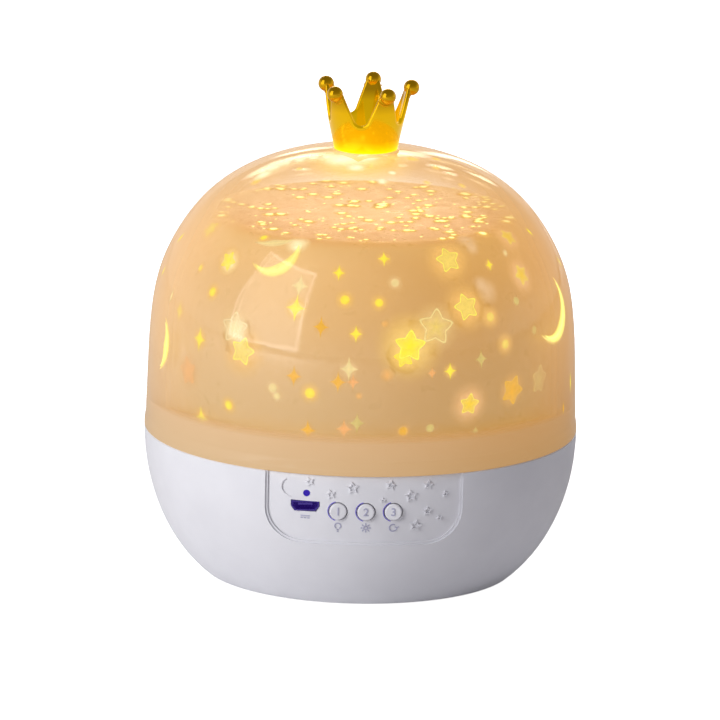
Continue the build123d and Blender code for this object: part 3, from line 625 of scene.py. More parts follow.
# Where the picture shows a motif, by kind of light. Places and sizes are picture pixels.
# Stars: x, y, size and turn in degrees
STARS = {
    "lemon": [(211, 229, 22, -20), (229, 261, 23, -16), (404, 357, 24, 12)],
    "bright": [(243, 351, 33, -12), (448, 260, 31, 8), (466, 307, 32, 12)],
    "pale": [(235, 328, 38, 0)],
    "glow": [(508, 237, 23, 0), (521, 275, 25, 14), (469, 404, 26, -8)],
    "haze": [(436, 327, 43, -8)],
    "vivid": [(410, 346, 37, -6)],
    "warm": [(512, 390, 35, -24)],
    "olive": [(539, 379, 34, -8)],
    "peach": [(188, 371, 34, 12)],
}

# Crescents: x, y, radius, and sweep and turn in degrees
MOONS = {"moon": [(276, 252, 25, 178, 34)], "pale": [(278, 235, 24, 120, 14)]}
COVER_MOONS = {"moon": [(553, 310, 32, 194, 46), (160, 341, 25, 140, 84)]}

# Sparkles: x, y and height
SPARKLES = {
    "lemon": [
        (339, 273, 17), (384, 259, 17), (296, 308, 28), (356, 334, 18), (450, 371, 18), (489, 265, 14),
        (180, 311, 24), (200, 339, 26), (202, 418, 26),
    ],
    "pale": [(300, 286, 24), (349, 369, 25)],
    "warm": [(321, 327, 22), (294, 376, 22), (338, 382, 22), (308, 430, 22)],
    "peach": [(353, 382, 17), (344, 429, 22), (432, 373, 13), (232, 431, 14), (563, 408, 18)],
    "olive": [(357, 423, 22), (481, 359, 20), (475, 431, 12)],
}

# Dots: x, y and width
DOTS = {
    "lemon": [
        (213, 292, 9), (345, 300, 9), (379, 303, 8), (310, 393, 10), (229, 405, 9), (264, 238, 7),
        (201, 268, 6),
    ],
    "bright": [(490, 317, 9), (505, 344, 9)],
    "pale": [(395, 283, 8), (273, 388, 9), (277, 396, 7), (505, 253, 5)],
    "olive": [(516, 301, 8), (534, 330, 8), (430, 428, 8)],
    "warm": [(403, 431, 9)],
}

# Clouds of light beside the stars: x, y and width
CLOUDS = {
    "ghost": [
        (466, 240, 30), (472, 248, 20), (487, 291, 34), (480, 284, 22), (522, 277, 34), (184, 352, 22),
        (242, 352, 42), (411, 347, 54),
    ],
    "ember": [
        (470, 404, 30), (189, 372, 26), (448, 260, 42), (466, 308, 42), (385, 324, 10), (387, 375, 18),
        (359, 396, 10),
    ],
    "flare": [
        (230, 262, 30), (236, 330, 36), (241, 344, 16), (296, 309, 18), (298, 244, 30), (297, 247, 15),
    ],
}

# Light thrown on the cover round the crown's foot: x, y and width
COVER_SPOTS = {
    "lemon": [
        (358, 162, 130), (392, 158, 20), (412, 159, 20), (256, 182, 16), (436, 159, 14), (299, 169, 10),
        (436, 168, 12), (427, 183, 12), (462, 186, 12),
    ],
    "flare": [
        (352, 158, 80), (340, 160, 40), (368, 158, 26), (328, 157, 24), (356, 168, 24), (314, 158, 18),
        (300, 160, 20), (286, 163, 20), (273, 168, 24), (263, 175, 24), (392, 173, 11), (382, 182, 14),
    ],
}

# Streaks of painted light on the cover's sides: x, y, height, width and turn in degrees
COVER_STREAKS = {
    "lemon": [
        (181, 238, 18, 5, -28), (164, 271, 16, 4, -12), (570, 382, 26, 5, 2), (559, 262, 18, 4, 16),
        (529, 232, 14, 5, 28),
    ],
    "pale": [(172, 296, 18, 6, -8)],
    "warm": [(563, 408, 16, 5, 0)],
}

# Kinds of light: colours of line, fill and halo, and strength
KINDS = {
    "ghost": ((0.97, 0.72, 0.5), (0.97, 0.72, 0.5), (0.98, 0.72, 0.48), 1.0),
    "ember": ((1.0, 0.5, 0.16), (1.0, 0.5, 0.16), (1.0, 0.55, 0.18), 1.0),
    "peach": ((0.95, 0.5, 0.2), (1.0, 0.5, 0.17), (1.0, 0.56, 0.26), 1.0),
    "olive": ((0.8, 0.64, 0.26), (0.74, 0.62, 0.2), (0.82, 0.6, 0.26), 1.0),
    "pale": ((1.0, 0.84, 0.48), (1.0, 0.84, 0.38), (1.0, 0.74, 0.4), 1.0),
    "haze": ((1.0, 0.84, 0.36), (0.96, 0.74, 0.08), (0.98, 0.72, 0.34), 1.0),
    "warm": ((0.95, 0.56, 0.06), (1.0, 0.54, 0.03), (1.0, 0.56, 0.18), 1.0),
    "glow": ((1.0, 0.9, 0.12), (1.0, 0.72, 0.02), (1.0, 0.6, 0.3), 1.1),
    "lemon": ((1.0, 0.88, 0.04), (1.0, 0.9, 0.06), (1.0, 0.64, 0.15), 1.15),
    "bright": ((1.0, 0.97, 0.14), (0.97, 0.76, 0.17), (1.0, 0.62, 0.2), 1.1),
    "moon": ((1.0, 0.86, 0.1), (1.0, 0.96, 0.3), (1.0, 0.78, 0.26), 1.25),
    "vivid": ((1.0, 0.97, 0.1), (1.0, 0.88, 0.0), (1.0, 0.7, 0.18), 1.2),
    "flare": ((1.0, 0.96, 0.7), (1.0, 0.98, 0.8), (1.0, 0.93, 0.6), 1.3),
    "spark": ((1.0, 0.9, 0.2), (1.0, 0.98, 0.45), (1.0, 0.86, 0.3), 2.1),
}
LAYERS = ("line", "fill", "halo")

# Size of a motif's halo, for the kinds where it isn't 1
HALO_SHARE = {
    "vivid": 1.4, "glow": 1.3, "bright": 1.25,
    "pale": 0.9, "haze": 0.9, "peach": 0.8, "warm": 0.8, "olive": 0.6,
}
FAINT = ("pale", "haze", "olive")  # stars that are thin inside


class Motifs:
    """Prints for every kind of light and every layer on one surface."""

    def __init__(self, tree):
        self.tree = tree
        self.prints = {}

    def lay(self, kind, layer, spot, rows, turn=0.0, closed=True):
        """Lays rows in the print that holds one kind's layer."""
        key = (kind, layer)
        if key not in self.prints:
            lift = LIFTS[layer] + KIND_STEP * list(KINDS).index(kind)
            self.prints[key] = Print(self.tree, lift)
        self.prints[key].lay(spot, rows, turn, closed)

    def halo(self, kind, spot, size, turn=0.0):
        """Halo in a kind's own proportion."""
        self.lay(kind, "halo", spot, halo(size * HALO_SHARE.get(kind, 1.0)), turn)

    def star(self, kind, spot, size, turn):
        """Star with a halo, a soft fill and an outline."""
        half = size / 2
        middle, edge = (0.8, 0.25) if kind in FAINT else (1.0, 0.7)
        self.halo(kind, spot, half * 1.5, turn)
        self.lay(kind, "fill", spot, filled(star_reach, half * 0.94, middle, edge), turn)
        self.lay(kind, "line", spot, outlined(star_reach, half * 1.03, half * 0.14), turn)

    def moon(self, kind, spot, radius, sweep, turn):
        """Crescent with a glow along it; its sweep is in degrees."""
        soft = crescent_rows(radius * 1.12, radius * 0.66, radians(sweep * 1.08), 0.0)
        sharp = crescent_rows(radius, radius * 0.48, radians(sweep), 0.6)
        self.lay(kind, "halo", spot, soft, turn, closed=False)
        self.lay(kind, "fill", spot, sharp, turn, closed=False)

    def sparkle(self, kind, spot, size):
        """Four-pointed sparkle with a small halo."""
        self.halo(kind, spot, size * 0.5)
        self.lay(kind, "fill", spot, filled(sparkle_reach, size / 2, 1.0, 0.8))

    def dot(self, kind, spot, size):
        """Round dot with a soft edge."""
        self.halo(kind, spot, size * 1.25)
        self.lay(kind, "fill", spot, filled(round_reach, size / 2, 1.0, 0.7))

    def cloud(self, kind, spot, size, layer="halo", slim=1.0, turn=0.0):
        """Patch of light that fades to nothing; a slim one is a streak."""
        share = 0.7 if kind == "ghost" else 1.0
        soft = [[(u * slim, v, fade * share) for u, v, fade in line] for line in halo(size / 2)]
        self.lay(kind, layer, spot, soft, turn)

    def seen(self, table):
        """Kind, place on the surface and further numbers of every motif in a table."""
        for kind, motifs in table.items():
            for x, y, *numbers in motifs:
                yield kind, picture_spot(self.tree, x, y), *numbers

    def moons(self, table):
        """Lays the crescents of a table."""
        for kind, spot, radius, sweep, turn in self.seen(table):
            self.moon(kind, spot, px(radius), sweep, radians(turn))

    def clouds(self, table):
        """Lays the clouds of a table."""
        for kind, spot, size in self.seen(table):
            self.cloud(kind, spot, px(size))

    def pieces(self, group, body, slot):
        """Makes one piece of every print."""
        for (kind, layer), gathered in sorted(self.prints.items()):
            colours = dict(zip(LAYERS, KINDS[kind]))
            core = colours[layer]
            rim = colours["line"] if layer == "fill" else core
            name = f"{group}_{kind}_{layer}"
            gathered.piece(name, printed_light(name, core, rim, KINDS[kind][-1]), body, slot)


def front_motifs(motifs):
    """Motifs on the half of the film that faces the viewer."""
    for kind, spot, size, turn in motifs.seen(STARS):
        motifs.star(kind, spot, px(size), radians(turn))
    motifs.moons(MOONS)
    for kind, spot, size in motifs.seen(SPARKLES):
        motifs.sparkle(kind, spot, px(size))
    for kind, spot, size in motifs.seen(DOTS):
        motifs.dot(kind, spot, px(size))
    motifs.clouds(CLOUDS)


def cover_lights(motifs):
    """Light thrown on the cover, round the crown's foot and near the outline."""
    motifs.moons(COVER_MOONS)
    motifs.clouds(COVER_SPOTS)
    for kind, spot, height, width, turn in motifs.seen(COVER_STREAKS):
        motifs.cloud(kind, spot, px(height), "fill", width / height, radians(turn))


# Motifs strewn where the picture doesn't show the film; sizes in metres, angles in degrees
BACK_SEED = 11
BACK_COUNT = 70
BACK_KINDS = ("bright", "lemon", "warm", "glow", "pale", "peach")
BACK_ANGLES = (8, 172)
BACK_Z = (0.05, 0.092)
BACK_R = 0.052
BACK_GAP = 0.0062
# Least and largest radius of the strewn crescents, size of the other motifs, and turn in radians
BACK_MOON_R = (0.0055, 0.0075)
BACK_MOON_TURN = (-1.2, 1.2)
BACK_STAR = (0.006, 0.0095)
BACK_STAR_TURN = (-0.6, 0.6)
BACK_DOT = (0.0016, 0.0024)
BACK_SPARKLE = (0.0035, 0.0065)
OUTSIDE = 0.2  # where rays towards the object start
TOP_SEED = 5
TOP_COUNT = 230
TOP_R = 0.04
TOP_SIZES = (0.0008, 0.001, 0.0013, 0.0016, 0.0022)
TOP_CLOUD_FROM = 0.0012


def back_motifs(motifs):
    """The same sorts of motif strewn over the half that faces away."""
    rng = random.Random(BACK_SEED)
    taken = []
    while len(taken) < BACK_COUNT:
        angle = radians(rng.uniform(*BACK_ANGLES))
        height = rng.uniform(*BACK_Z)
        spot = (angle * BACK_R, height)
        if any(dist(spot, other) < BACK_GAP for other in taken):
            continue
        taken.append(spot)
        outward = polar(angle, 1, 0)
        start = outward * OUTSIDE + Vector((0, 0, height))
        place = motifs.tree.ray_cast(start, -outward)[:2]
        kind = BACK_KINDS[rng.randrange(len(BACK_KINDS))]
        number = len(taken)
        if number % 16 == 1:
            motifs.moon(kind, place, rng.uniform(*BACK_MOON_R), 180, rng.uniform(*BACK_MOON_TURN))
        elif number % 4 == 1:
            motifs.star(kind, place, rng.uniform(*BACK_STAR), rng.uniform(*BACK_STAR_TURN))
        elif number % 4 == 3:
            motifs.dot(kind, place, rng.uniform(*BACK_DOT))
        else:
            motifs.sparkle(kind, place, rng.uniform(*BACK_SPARKLE))


def top_motifs(motifs):
    """Fine bright dots on the flat top of the film."""
    rng = random.Random(TOP_SEED)
    for _ in range(TOP_COUNT):
        angle = rng.uniform(0, 2 * pi)
        radius = TOP_R * sqrt(rng.uniform(0.02, 1.0))
        start = polar(angle, radius, OUTSIDE)
        spot = motifs.tree.ray_cast(start, Vector((0, 0, -1)))[:2]
        size = rng.choice(TOP_SIZES)
        motifs.lay("spark", "fill", spot, filled(round_reach, size / 2, 1.0, 0.6))
        if size > TOP_CLOUD_FROM:
            motifs.cloud("lemon", spot, size * 2.6)


# ------ panel signs
SIGN_Z = 0.0251
SIGN_LINE = 0.3 * MM
BULB_X, SUN_X, TURN_X = -0.0069, 0.0005, 0.0078
BULB_R, BULB_RISE = 0.0008, 0.0004
BULB_FOOT = ((-0.0007, 0.0003), (-0.0012, 0.0002))  # height and half width of its two lines
SUN_R = 0.0005
SUN_RAY = (0.0008, 0.00135)
RAY_COUNT = 8
TURN_R = 0.001
TURN_HEAD = ((0.0005, 0.0003), (0.001, 0), (0.0015, 0.0003))
PORT_SIGN = (-0.0156, 0.0276)
PORT_HALF = 0.0012
PORT_GAP = 0.0003  # from the sign's middle to its line and to its dashes
DASH_STEP, DASH_HALF = 0.0009, 0.0003
GLINT_IN = 0.48 * MM  # from the edge of a button's flange to its glint
GLINT_LINE = 0.22 * MM
NUMERAL_SIZE = 3.0 * MM
NUMERAL_H = 0.14 * MM
NUMERAL_EDGE = 0.03 * MM
BUTTONS = ("lamp", "colour", "turn")
IN_FRONT = -0.2  # the y where rays towards the panel start


class Relief(Laid):
    """Raised signs; each is a closed body sunk into the surface."""

    def __init__(self, tree, height, sink):
        super().__init__(tree)
        self.height = height
        self.sink = sink

    def stroke(self, path, width=SIGN_LINE, closed=False):
        """Raised line along (x, z) points seen from the front."""
        count = len(path)
        sides = []
        for i, (x, z) in enumerate(path):
            before = path[i - 1] if i or closed else path[i]
            after = path[(i + 1) % count] if i < count - 1 or closed else path[i]
            along = Vector((after[0] - before[0], after[1] - before[1])).normalized()
            off = Vector((-along[1], along[0])) * width / 2
            sides.append(((x + off[0], z + off[1]), (x - off[0], z - off[1])))
        rings = [self.cross_section(left, right) for left, right in sides]
        pairs = list(zip(rings, rings[1:]))
        if closed:
            pairs.append((rings[-1], rings[0]))
        else:
            self.faces.append(tuple(reversed(rings[0])))
            self.faces.append(tuple(rings[-1]))
        for first, second in pairs:
            for k in range(4):
                m = (k + 1) % 4
                self.faces.append((first[k], first[m], second[m], second[k]))

    def dash(self, x, z, half):
        """Level stroke with its middle at a place."""
        self.stroke([(x - half, z), (x + half, z)])

    def cross_section(self, left, right):
        """Four points: two on top and two sunk into the surface."""
        ring = []
        low, top = -self.sink, self.height
        for (x, z), level in ((left, low), (left, top), (right, top), (right, low)):
            hit, _, _, _ = self.tree.ray_cast(Vector((x, IN_FRONT, z)), Vector((0, 1, 0)))
            self.points.append(hit + Vector((0, -level, 0)))
            ring.append(len(self.points) - 1)
        return ring


def arc_path(x, z, radius, start, end, count=16):
    """Points along an arc, angles in degrees."""
    points = []
    for i in range(count + 1):
        angle = radians(start + (end - start) * i / count)
        points.append((x + radius * cos(angle), z + radius * sin(angle)))
    return points


def panel_signs(material):
    """Bulb, sun and turning arrow under the buttons, and a direct-current sign under the port."""
    signs = Relief(surface_of("base_bowl"), 0.16 * MM, 0.1 * MM)
    signs.stroke(arc_path(BULB_X, SIGN_Z + BULB_RISE, BULB_R, -60, 240))
    for up, half in BULB_FOOT:
        signs.dash(BULB_X, SIGN_Z + up, half)
    signs.stroke(arc_path(SUN_X, SIGN_Z, SUN_R, 0, 337.5, 15), closed=True)
    for i in range(RAY_COUNT):
        angle = radians(360 / RAY_COUNT * i)
        ray = [(SUN_X + r * cos(angle), SIGN_Z + r * sin(angle)) for r in SUN_RAY]
        signs.stroke(ray, SIGN_LINE * 0.9)
    signs.stroke(arc_path(TURN_X, SIGN_Z, TURN_R, 60, 360))
    signs.stroke([(TURN_X + across, SIGN_Z + up) for across, up in TURN_HEAD])
    x, z = PORT_SIGN
    signs.dash(x, z + PORT_GAP, PORT_HALF)
    for i in (-1, 0, 1):
        signs.dash(x + i * DASH_STEP, z - PORT_GAP, DASH_HALF)
    signs.piece("panel_signs", material, "base", "white_plastic")


def button_glints(material):
    """Blue light of the indicator caught in the left of the grooves round the buttons."""
    glints = Relief(surface_of("base_bowl"), 0.06 * MM, 0.05 * MM)
    for button in BUTTONS:
        low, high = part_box(f"button_{button}")
        radius = (high[0] - low[0]) / 2 - GLINT_IN
        arc = arc_path((low[0] + high[0]) / 2, (low[2] + high[2]) / 2, radius, 105, 255)
        glints.stroke(arc, GLINT_LINE)
    glints.piece("button_glints", material, "base", "light_guide")


def button_numeral(button, text, material):
    """Plain raised number on a button's cap."""
    low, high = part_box(f"button_{button}")
    centre = Vector(((low[0] + high[0]) / 2, low[1], (low[2] + high[2]) / 2))
    curve = bpy.data.curves.new(f"number_{text}", "FONT")
    curve.body = text
    curve.size = NUMERAL_SIZE
    curve.extrude = NUMERAL_H
    curve.bevel_depth = NUMERAL_EDGE
    curve.resolution_u = 4
    curve.align_x = curve.align_y = "CENTER"
    holder = bpy.data.objects.new(f"number_{text}_text", curve)
    mesh = bpy.data.meshes.new_from_object(holder)
    bpy.data.objects.remove(holder)
    mesh.transform(Matrix.Translation(centre) @ Matrix.Rotation(radians(90), 4, "X"))
    mesh.materials.clear()
    mesh.materials.append(material)
    add_piece(f"number_{text}", mesh, f"{button}_button")


# ------ crown
CROWN_POINTS = 5
CROWN_PHASE = radians(-63.5)
POINT_ANGLES = [CROWN_PHASE + 2 * pi * i / CROWN_POINTS for i in range(CROWN_POINTS)]
CROWN_FOOT_R = 8.5 * MM
CROWN_TIP_R = 12.1 * MM
CROWN_H = 18.6 * MM
HALF_WALL = 0.7 * MM
FLOOR_H = 1.2 * MM
FOOT_EDGE = 0.3 * MM
BALL_R = 2.15 * MM
BALL_OUT = 0.8 * MM
BALL_H = CROWN_H - BALL_R
POINT_R = 2.05 * MM
POINT_DROP = 1.0 * MM  # the wall's points end this far below the crown's top
VALLEY_H = 8.0 * MM
VALLEY_R = 1.75 * MM
STUD_R = 2.0 * MM
STUD_L = 5.2 * MM
AXIS_R = 0.2 * MM  # small hole on the axis, closed by one face
RIDGE_R = 1.22 * BALL_R
RIDGE_T = 0.32 * MM
ARC_STEPS = 8
WALL_ROWS = 14
RIDGE_STEPS = 20
RIDGE_SIDES = 8
RIDGE_FROM, RIDGE_SWEEP = 200, 140  # degrees round the ball
RIDGE_END = 10  # degrees past each end at which its width would be nothing


def crown_radius(height):
    """Radius of the middle of the crown's wall at a height above its seat."""
    return CROWN_FOOT_R - HALF_WALL + (CROWN_TIP_R - CROWN_FOOT_R) * height / BALL_H


def crown_edge():
    """Half a point's edge, from its middle to the valley, as rows for crown_columns."""
    cap = POINT_R - HALF_WALL
    dip = VALLEY_R + HALF_WALL
    top = CROWN_H - POINT_DROP - POINT_R
    low = VALLEY_H + VALLEY_R
    reach = crown_radius(low - dip) * pi / CROWN_POINTS
    apart = hypot(reach, top - low)
    lean = atan2(top - low, reach) + asin((cap + dip) / apart)
    turns = [lean * i / ARC_STEPS for i in range(ARC_STEPS + 1)]
    tip = [(cap * sin(t), top + cap * cos(t), t) for t in turns]
    hollow = [(reach - dip * sin(t), low - dip * cos(t), t) for t in reversed(turns)]
    flank = []
    for i in range(1, ARC_STEPS):
        x, height = (a + (b - a) * i / ARC_STEPS for a, b in zip(tip[-1][:2], hollow[0][:2]))
        flank.append((x, height, lean))
    line = (*tip, *flank, *hollow)
    return [(x / crown_radius(height), height, sin(t), cos(t)) for x, height, t in line]


def crown_columns():
    """The edge all round the crown, as (angle, height, outward across, outward up)."""
    half = crown_edge()
    columns = []
    for middle in POINT_ANGLES:
        columns += [(middle - a, h, -across, up) for a, h, across, up in reversed(half[1:])]
        columns += [(middle + a, h, across, up) for a, h, across, up in half[:-1]]
    return columns


def crown_column(angle, height, across, up):
    """One column of the crown's skin, from the stud over the wall's edge to the floor."""
    slope = atan2(CROWN_TIP_R - CROWN_FOOT_R, BALL_H)
    outward = polar(angle, cos(slope), -sin(slope))
    around = Vector((-sin(angle), cos(angle), 0))
    climb = polar(angle, sin(slope), cos(slope))
    stud = ((AXIS_R, -STUD_L), (STUD_R, -STUD_L), (STUD_R, 0), (CROWN_FOOT_R - FOOT_EDGE, 0))
    points = [polar(angle, r, z) for r, z in stud]
    for i in range(WALL_ROWS):
        level = FOOT_EDGE + (height - FOOT_EDGE) * i / WALL_ROWS
        points.append(polar(angle, crown_radius(level), level) + outward * HALF_WALL)
    middle = polar(angle, crown_radius(height), height)
    away = around * across + climb * up
    for i in range(ARC_STEPS + 1):
        turn = pi * i / ARC_STEPS
        points.append(middle + outward * (HALF_WALL * cos(turn)) + away * (HALF_WALL * sin(turn)))
    for i in reversed(range(WALL_ROWS)):
        level = FLOOR_H + (height - FLOOR_H) * i / WALL_ROWS
        points.append(polar(angle, crown_radius(level), level) - outward * HALF_WALL)
    points.append(polar(angle, AXIS_R, FLOOR_H))
    return points


def crown_skin(target, seat):
    """Adds the crown's wall, floor and stud to a bmesh."""
    columns = []
    for column in crown_columns():
        columns.append([target.verts.new(p + seat) for p in crown_column(*column)])
    for here, there in zip(columns, (*columns[1:], columns[0])):
        for k in range(len(here) - 1):
            target.faces.new((here[k], there[k], there[k + 1], here[k + 1]))
    target.faces.new([column[0] for column in reversed(columns)])
    target.faces.new([column[-1] for column in columns])


def crown_balls(target, seat):
    """Adds a ball at the outside of each point, with a fine smiling ridge below it."""
    for angle in POINT_ANGLES:
        place = polar(angle, crown_radius(BALL_H) + BALL_OUT, BALL_H) + seat
        put = Matrix.Translation(place)
        bmesh.ops.create_uvsphere(target, u_segments=40, v_segments=24, radius=BALL_R, matrix=put)
        turns = [radians(RIDGE_FROM + RIDGE_SWEEP * i / RIDGE_STEPS) for i in range(RIDGE_STEPS + 1)]
        rings = [[target.verts.new(p + seat) for p in ridge_ring(angle, turn)] for turn in turns]
        for first, second in zip(rings, rings[1:]):
            for k in range(RIDGE_SIDES):
                m = (k + 1) % RIDGE_SIDES
                target.faces.new((first[k], second[k], second[m], first[m]))
        target.faces.new(rings[0])
        target.faces.new(list(reversed(rings[-1])))


def ridge_ring(angle, turn):
    """Ring of points of the ridge round a ball, at one turn round the ball."""
    level = BALL_H + RIDGE_R * sin(turn)
    across = RIDGE_R * cos(turn) / crown_radius(level)
    middle = polar(angle + across, crown_radius(level) + HALF_WALL, level)
    outward = polar(angle + across, 1, 0)
    around = Vector((-outward.y, outward.x, 0)) * cos(turn) + Vector((0, 0, 1)) * sin(turn)
    along = (degrees(turn) - (RIDGE_FROM - RIDGE_END)) / (RIDGE_SWEEP + 2 * RIDGE_END)
    width = RIDGE_T * sin(pi * along)
    ring = []
    for k in range(RIDGE_SIDES):
        part = 2 * pi * k / RIDGE_SIDES
        ring.append(middle + outward * (width * 0.8 * cos(part)) + around * (width * sin(part)))
    return ring


def make_crown(material):
    """Polished crown with balls on its points and a stud through the cover."""
    seat = Vector((0, 0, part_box("dome_cover")[1][2]))
    skin = bmesh.new()
    crown_skin(skin, seat)
    crown_balls(skin, seat)
    bmesh.ops.recalc_face_normals(skin, faces=skin.faces)
    mesh = bpy.data.meshes.new("gold_crown")
    skin.to_mesh(mesh)
    skin.free()
    mesh.materials.append(material)
    mesh.shade_smooth()
    mesh.set_sharp_from_angle(angle=radians(50))
    crown = new_object("gold_crown", mesh)
    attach(crown, "cover")
    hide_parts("crown")


# ------ surroundings
# Soft lights: name, place, the place they point at and watts; shiny surfaces don't mirror them
LAMPS = (
    ("key", (-1.11, -0.91, 0.56), (0, 0, 0.06), 17),
    ("back", (0.3, 1.45, 0.5), (0, 0, 0.05), 10),
)
LAMP_SIZE = (0.9, 0.8)
FILL = 0.265
FILL_COLOUR = (1.0, 0.965, 1.045)
WHITE = (1.0, 1.0, 1.0)

# The mirrored room: grey by height, then patches as (angle, height) corners and edge in degrees
WALLS = [(0.0, 0.8), (0.48, 0.6), (0.6, 0.28), (0.8, 0.16), (1.0, 0.12)]
REAR_WALL = ((-100, -90), (100, 22), 14.0)
REAR_LEVEL = 0.35
SOFT_BOX = ((37.5, 0.5), (77, 44.5), 0.5)
BOX_LEVEL = 1.35
BOX_FRAME = ((36.1, -0.9), (78.4, 45.9), 0.5)
FRAME_LEVEL = 3.2

# Streaks of light behind the object: angle, height, half sizes and tilt in degrees
STREAKS = [
    (-12.5, 20, 5, 3.4, 5), (-4.5, 17.5, 9, 3.6, 2), (3.5, 15.5, 5, 4, -60), (6.8, 5, 2, 8, 8),
    (-0.5, 29, 4.5, 2.4, 10), (4.5, 29.5, 3.4, 2.4, -8), (-9.6, 32, 2, 2.6, 0), (11.2, 23.6, 2.2, 2.8, 30),
    (16.2, 15.3, 2, 4, 30), (-3, 8.8, 3.2, 2, 12), (15, 27, 1.6, 2.2, 20),
]
STREAK_LEVEL = 11.0
STREAK_COLOUR = (1.0, 0.94, 0.62)
RIPPLE = 14  # scale of the noise that shifts the streaks
WAVER = 0.05  # how far it shifts them, in radians

FLOOR_HALF = 3.0
FLOOR_LIGHT = 0.95
FLOOR_MIRRORED = 0.12


def make_lights():
    """Large soft lights that point at the object."""
    for name, place, target, watts in LAMPS:
        data = bpy.data.lights.new(name, "AREA")
        data.shape = "RECTANGLE"
        data.size, data.size_y = LAMP_SIZE
        data.energy = watts
        lamp = new_object(name, data)
        direction = Vector(target) - Vector(place)
        aimed = direction.to_track_quat("-Z", "Y").to_matrix().to_4x4()
        lamp.matrix_world = Matrix.Translation(place) @ aimed
        lamp.visible_glossy = False


class Room(Nodes):
    """What a shiny surface mirrors, by direction."""

    space = "Generated"

    def __init__(self, tree):
        super().__init__(tree)
        self.nodes.clear()
        x, y, z = (self.axis(letter) for letter in "XYZ")
        self.left = self.math("ARCTAN2", self.math("MULTIPLY", x, -1.0), self.math("MULTIPLY", y, -1.0))
        self.behind = self.math("ARCTAN2", x, y)
        self.height = self.math("ARCSINE", z)

    def band(self, value, low, high, soft):
        """1 between two values, fading to 0 over a soft edge."""
        rise = self.span(value, low - soft, low + soft)
        fall = self.span(value, high - soft, high + soft, 1, 0)
        return self.math("MULTIPLY", rise, fall)

    def box(self, across, low, high, soft):
        """Patch between two (angle, height) corners in degrees."""
        sides = zip((across, self.height), low, high)
        bands = [self.band(value, *map(radians, (a, b, soft))) for value, a, b in sides]
        return self.math("MULTIPLY", *bands)

    def patches(self, spots):
        """Soft tilted ovals in (angle behind, height): their middle, half sizes and tilt in degrees."""
        spot = self.add("ShaderNodeCombineXYZ", {"X": self.behind, "Y": self.height}).outputs[0]
        ripple = self.add("ShaderNodeTexNoise", {"Scale": RIPPLE, "Vector": spot}).outputs["Color"]
        feeds = {0: ripple, 1: (WAVER, WAVER, 0), 2: spot}
        waver = self.add("ShaderNodeVectorMath", feeds, operation="MULTIPLY_ADD").outputs[0]
        total = 0.0
        for angle, height, half_w, half_h, tilt in spots:
            middle = [radians(v) + WAVER / 2 for v in (angle, height)]
            feeds = {
                "Location": (*middle, 0),
                "Rotation": (0, 0, radians(tilt)),
                "Scale": (radians(half_w), radians(half_h), 1),
                "Vector": waver,
            }
            oval = self.add("ShaderNodeMapping", feeds, vector_type="TEXTURE").outputs[0]
            fade = self.add("ShaderNodeTexGradient", {"Vector": oval}, gradient_type="SPHERICAL")
            total = self.math("ADD", fade.outputs["Fac"], total)
        return total

    def mirrored(self):
        """Strength and colour in mirrors: walls, a soft box at the left and streaks behind."""
        level = self.ramp(self.span(self.math("SINE", self.height), -1, 1), greys(WALLS))
        outer = self.box(self.left, *BOX_FRAME)
        inner = self.box(self.left, *SOFT_BOX)
        streaks = self.math("MULTIPLY", self.patches(STREAKS), STREAK_LEVEL)
        parts = (
            self.math("MULTIPLY", self.box(self.behind, *REAR_WALL), REAR_LEVEL),
            self.math("MULTIPLY", self.math("SUBTRACT", outer, inner), FRAME_LEVEL),
            self.math("MULTIPLY", inner, BOX_LEVEL),
            streaks,
        )
        for part in parts:
            level = self.math("ADD", level, part)
        return level, self.mix_colour(self.span(streaks, 0, 6), WHITE, STREAK_COLOUR)

    def light(self, strength, colour=WHITE):
        """Background shader; strength and colour are plain or outputs."""
        return self.add("ShaderNodeBackground", {"Strength": strength, "Color": colour}).outputs[0]


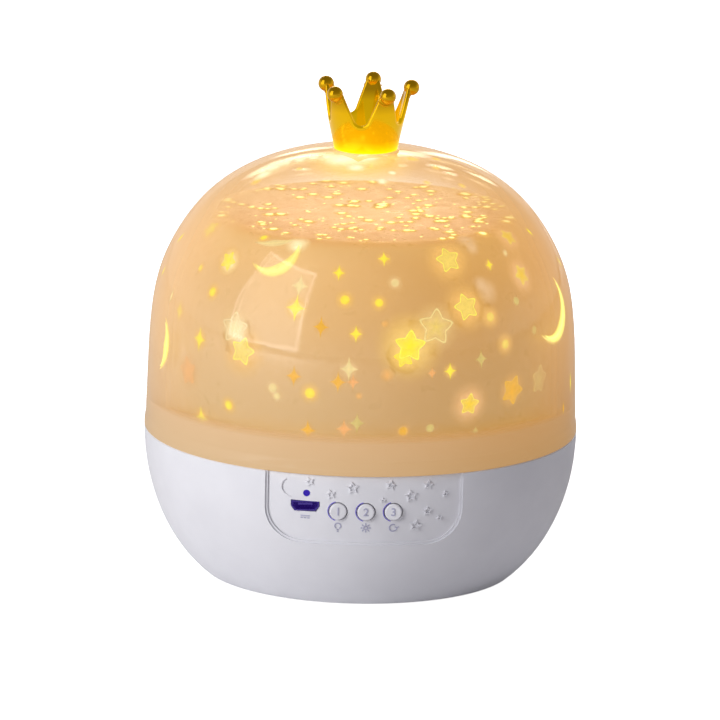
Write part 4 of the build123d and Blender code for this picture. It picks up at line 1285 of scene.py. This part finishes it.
def make_world():
    """White to the eye, a room for shiny surfaces and a soft fill for the rest."""
    world = bpy.data.worlds.new("world")
    scene.world = world
    world.use_nodes = True
    room = Room(world.node_tree)
    path = room.add("ShaderNodeLightPath").outputs
    fill = room.light(FILL, FILL_COLOUR)
    lit_room = room.mix_shader(path["Is Glossy Ray"], fill, room.light(*room.mirrored()))
    seen = room.math("MAXIMUM", path["Is Camera Ray"], path["Is Transmission Ray"])
    room.add("ShaderNodeOutputWorld", {"Surface": room.mix_shader(seen, lit_room, room.light(1.0))})


def floor_material():
    """White paper: white to the eye with a faint shadow, a pale bounce for the object."""
    s = Shader("white_floor")
    s.put("Base Color", s.mix_colour(s.noise(400, 2), (0.82, 0.82, 0.83), (0.8, 0.8, 0.81)))
    s.put("Roughness", 0.9)
    path = s.add("ShaderNodeLightPath").outputs
    seen = s.math("MULTIPLY", path["Is Camera Ray"], FLOOR_LIGHT)
    mirrored = s.math("MULTIPLY", path["Is Glossy Ray"], FLOOR_MIRRORED)
    white = s.add("ShaderNodeEmission", {"Strength": s.math("MAXIMUM", seen, mirrored)})
    both = s.add("ShaderNodeAddShader", {0: s.surface.outputs[0], 1: white.outputs[0]})
    s.show(both.outputs[0])
    return s.material


def make_floor():
    """Plain floor under the feet."""
    mesh = bpy.data.meshes.new("floor")
    sides = ((-1, -1), (1, -1), (1, 1), (-1, 1))
    mesh.from_pydata([(x * FLOOR_HALF, y * FLOOR_HALF, 0) for x, y in sides], [], [(0, 1, 2, 3)])
    mesh.materials.append(floor_material())
    floor = new_object("floor", mesh)


# ------ all together
make_camera()
materials = dress_nodes()
film_motifs = Motifs(surface_of("film_cup"))
front_motifs(film_motifs)
back_motifs(film_motifs)
top_motifs(film_motifs)
film_motifs.pieces("film", "turntable", "star_film")
thrown_lights = Motifs(surface_of("dome_cover"))
cover_lights(thrown_lights)
thrown_lights.pieces("cover", "cover", "amber_clear")
make_crown(materials["gold_chrome"])
# Grey-violet painted shade on the raised signs of the panel and the raised numbers of the buttons
sign_shade = plastic("panel_sign_shade", (0.46, 0.46, 0.6), (0.42, 0.42, 0.56))
panel_signs(sign_shade)
button_glints(plastic("blue_glint", (0.16, 0.12, 0.62), (0.13, 0.09, 0.56)))
for number, button in enumerate(BUTTONS, 1):
    button_numeral(button, str(number), sign_shade)
make_lights()
make_world()
make_floor()
scene.view_settings.view_transform = "Standard"
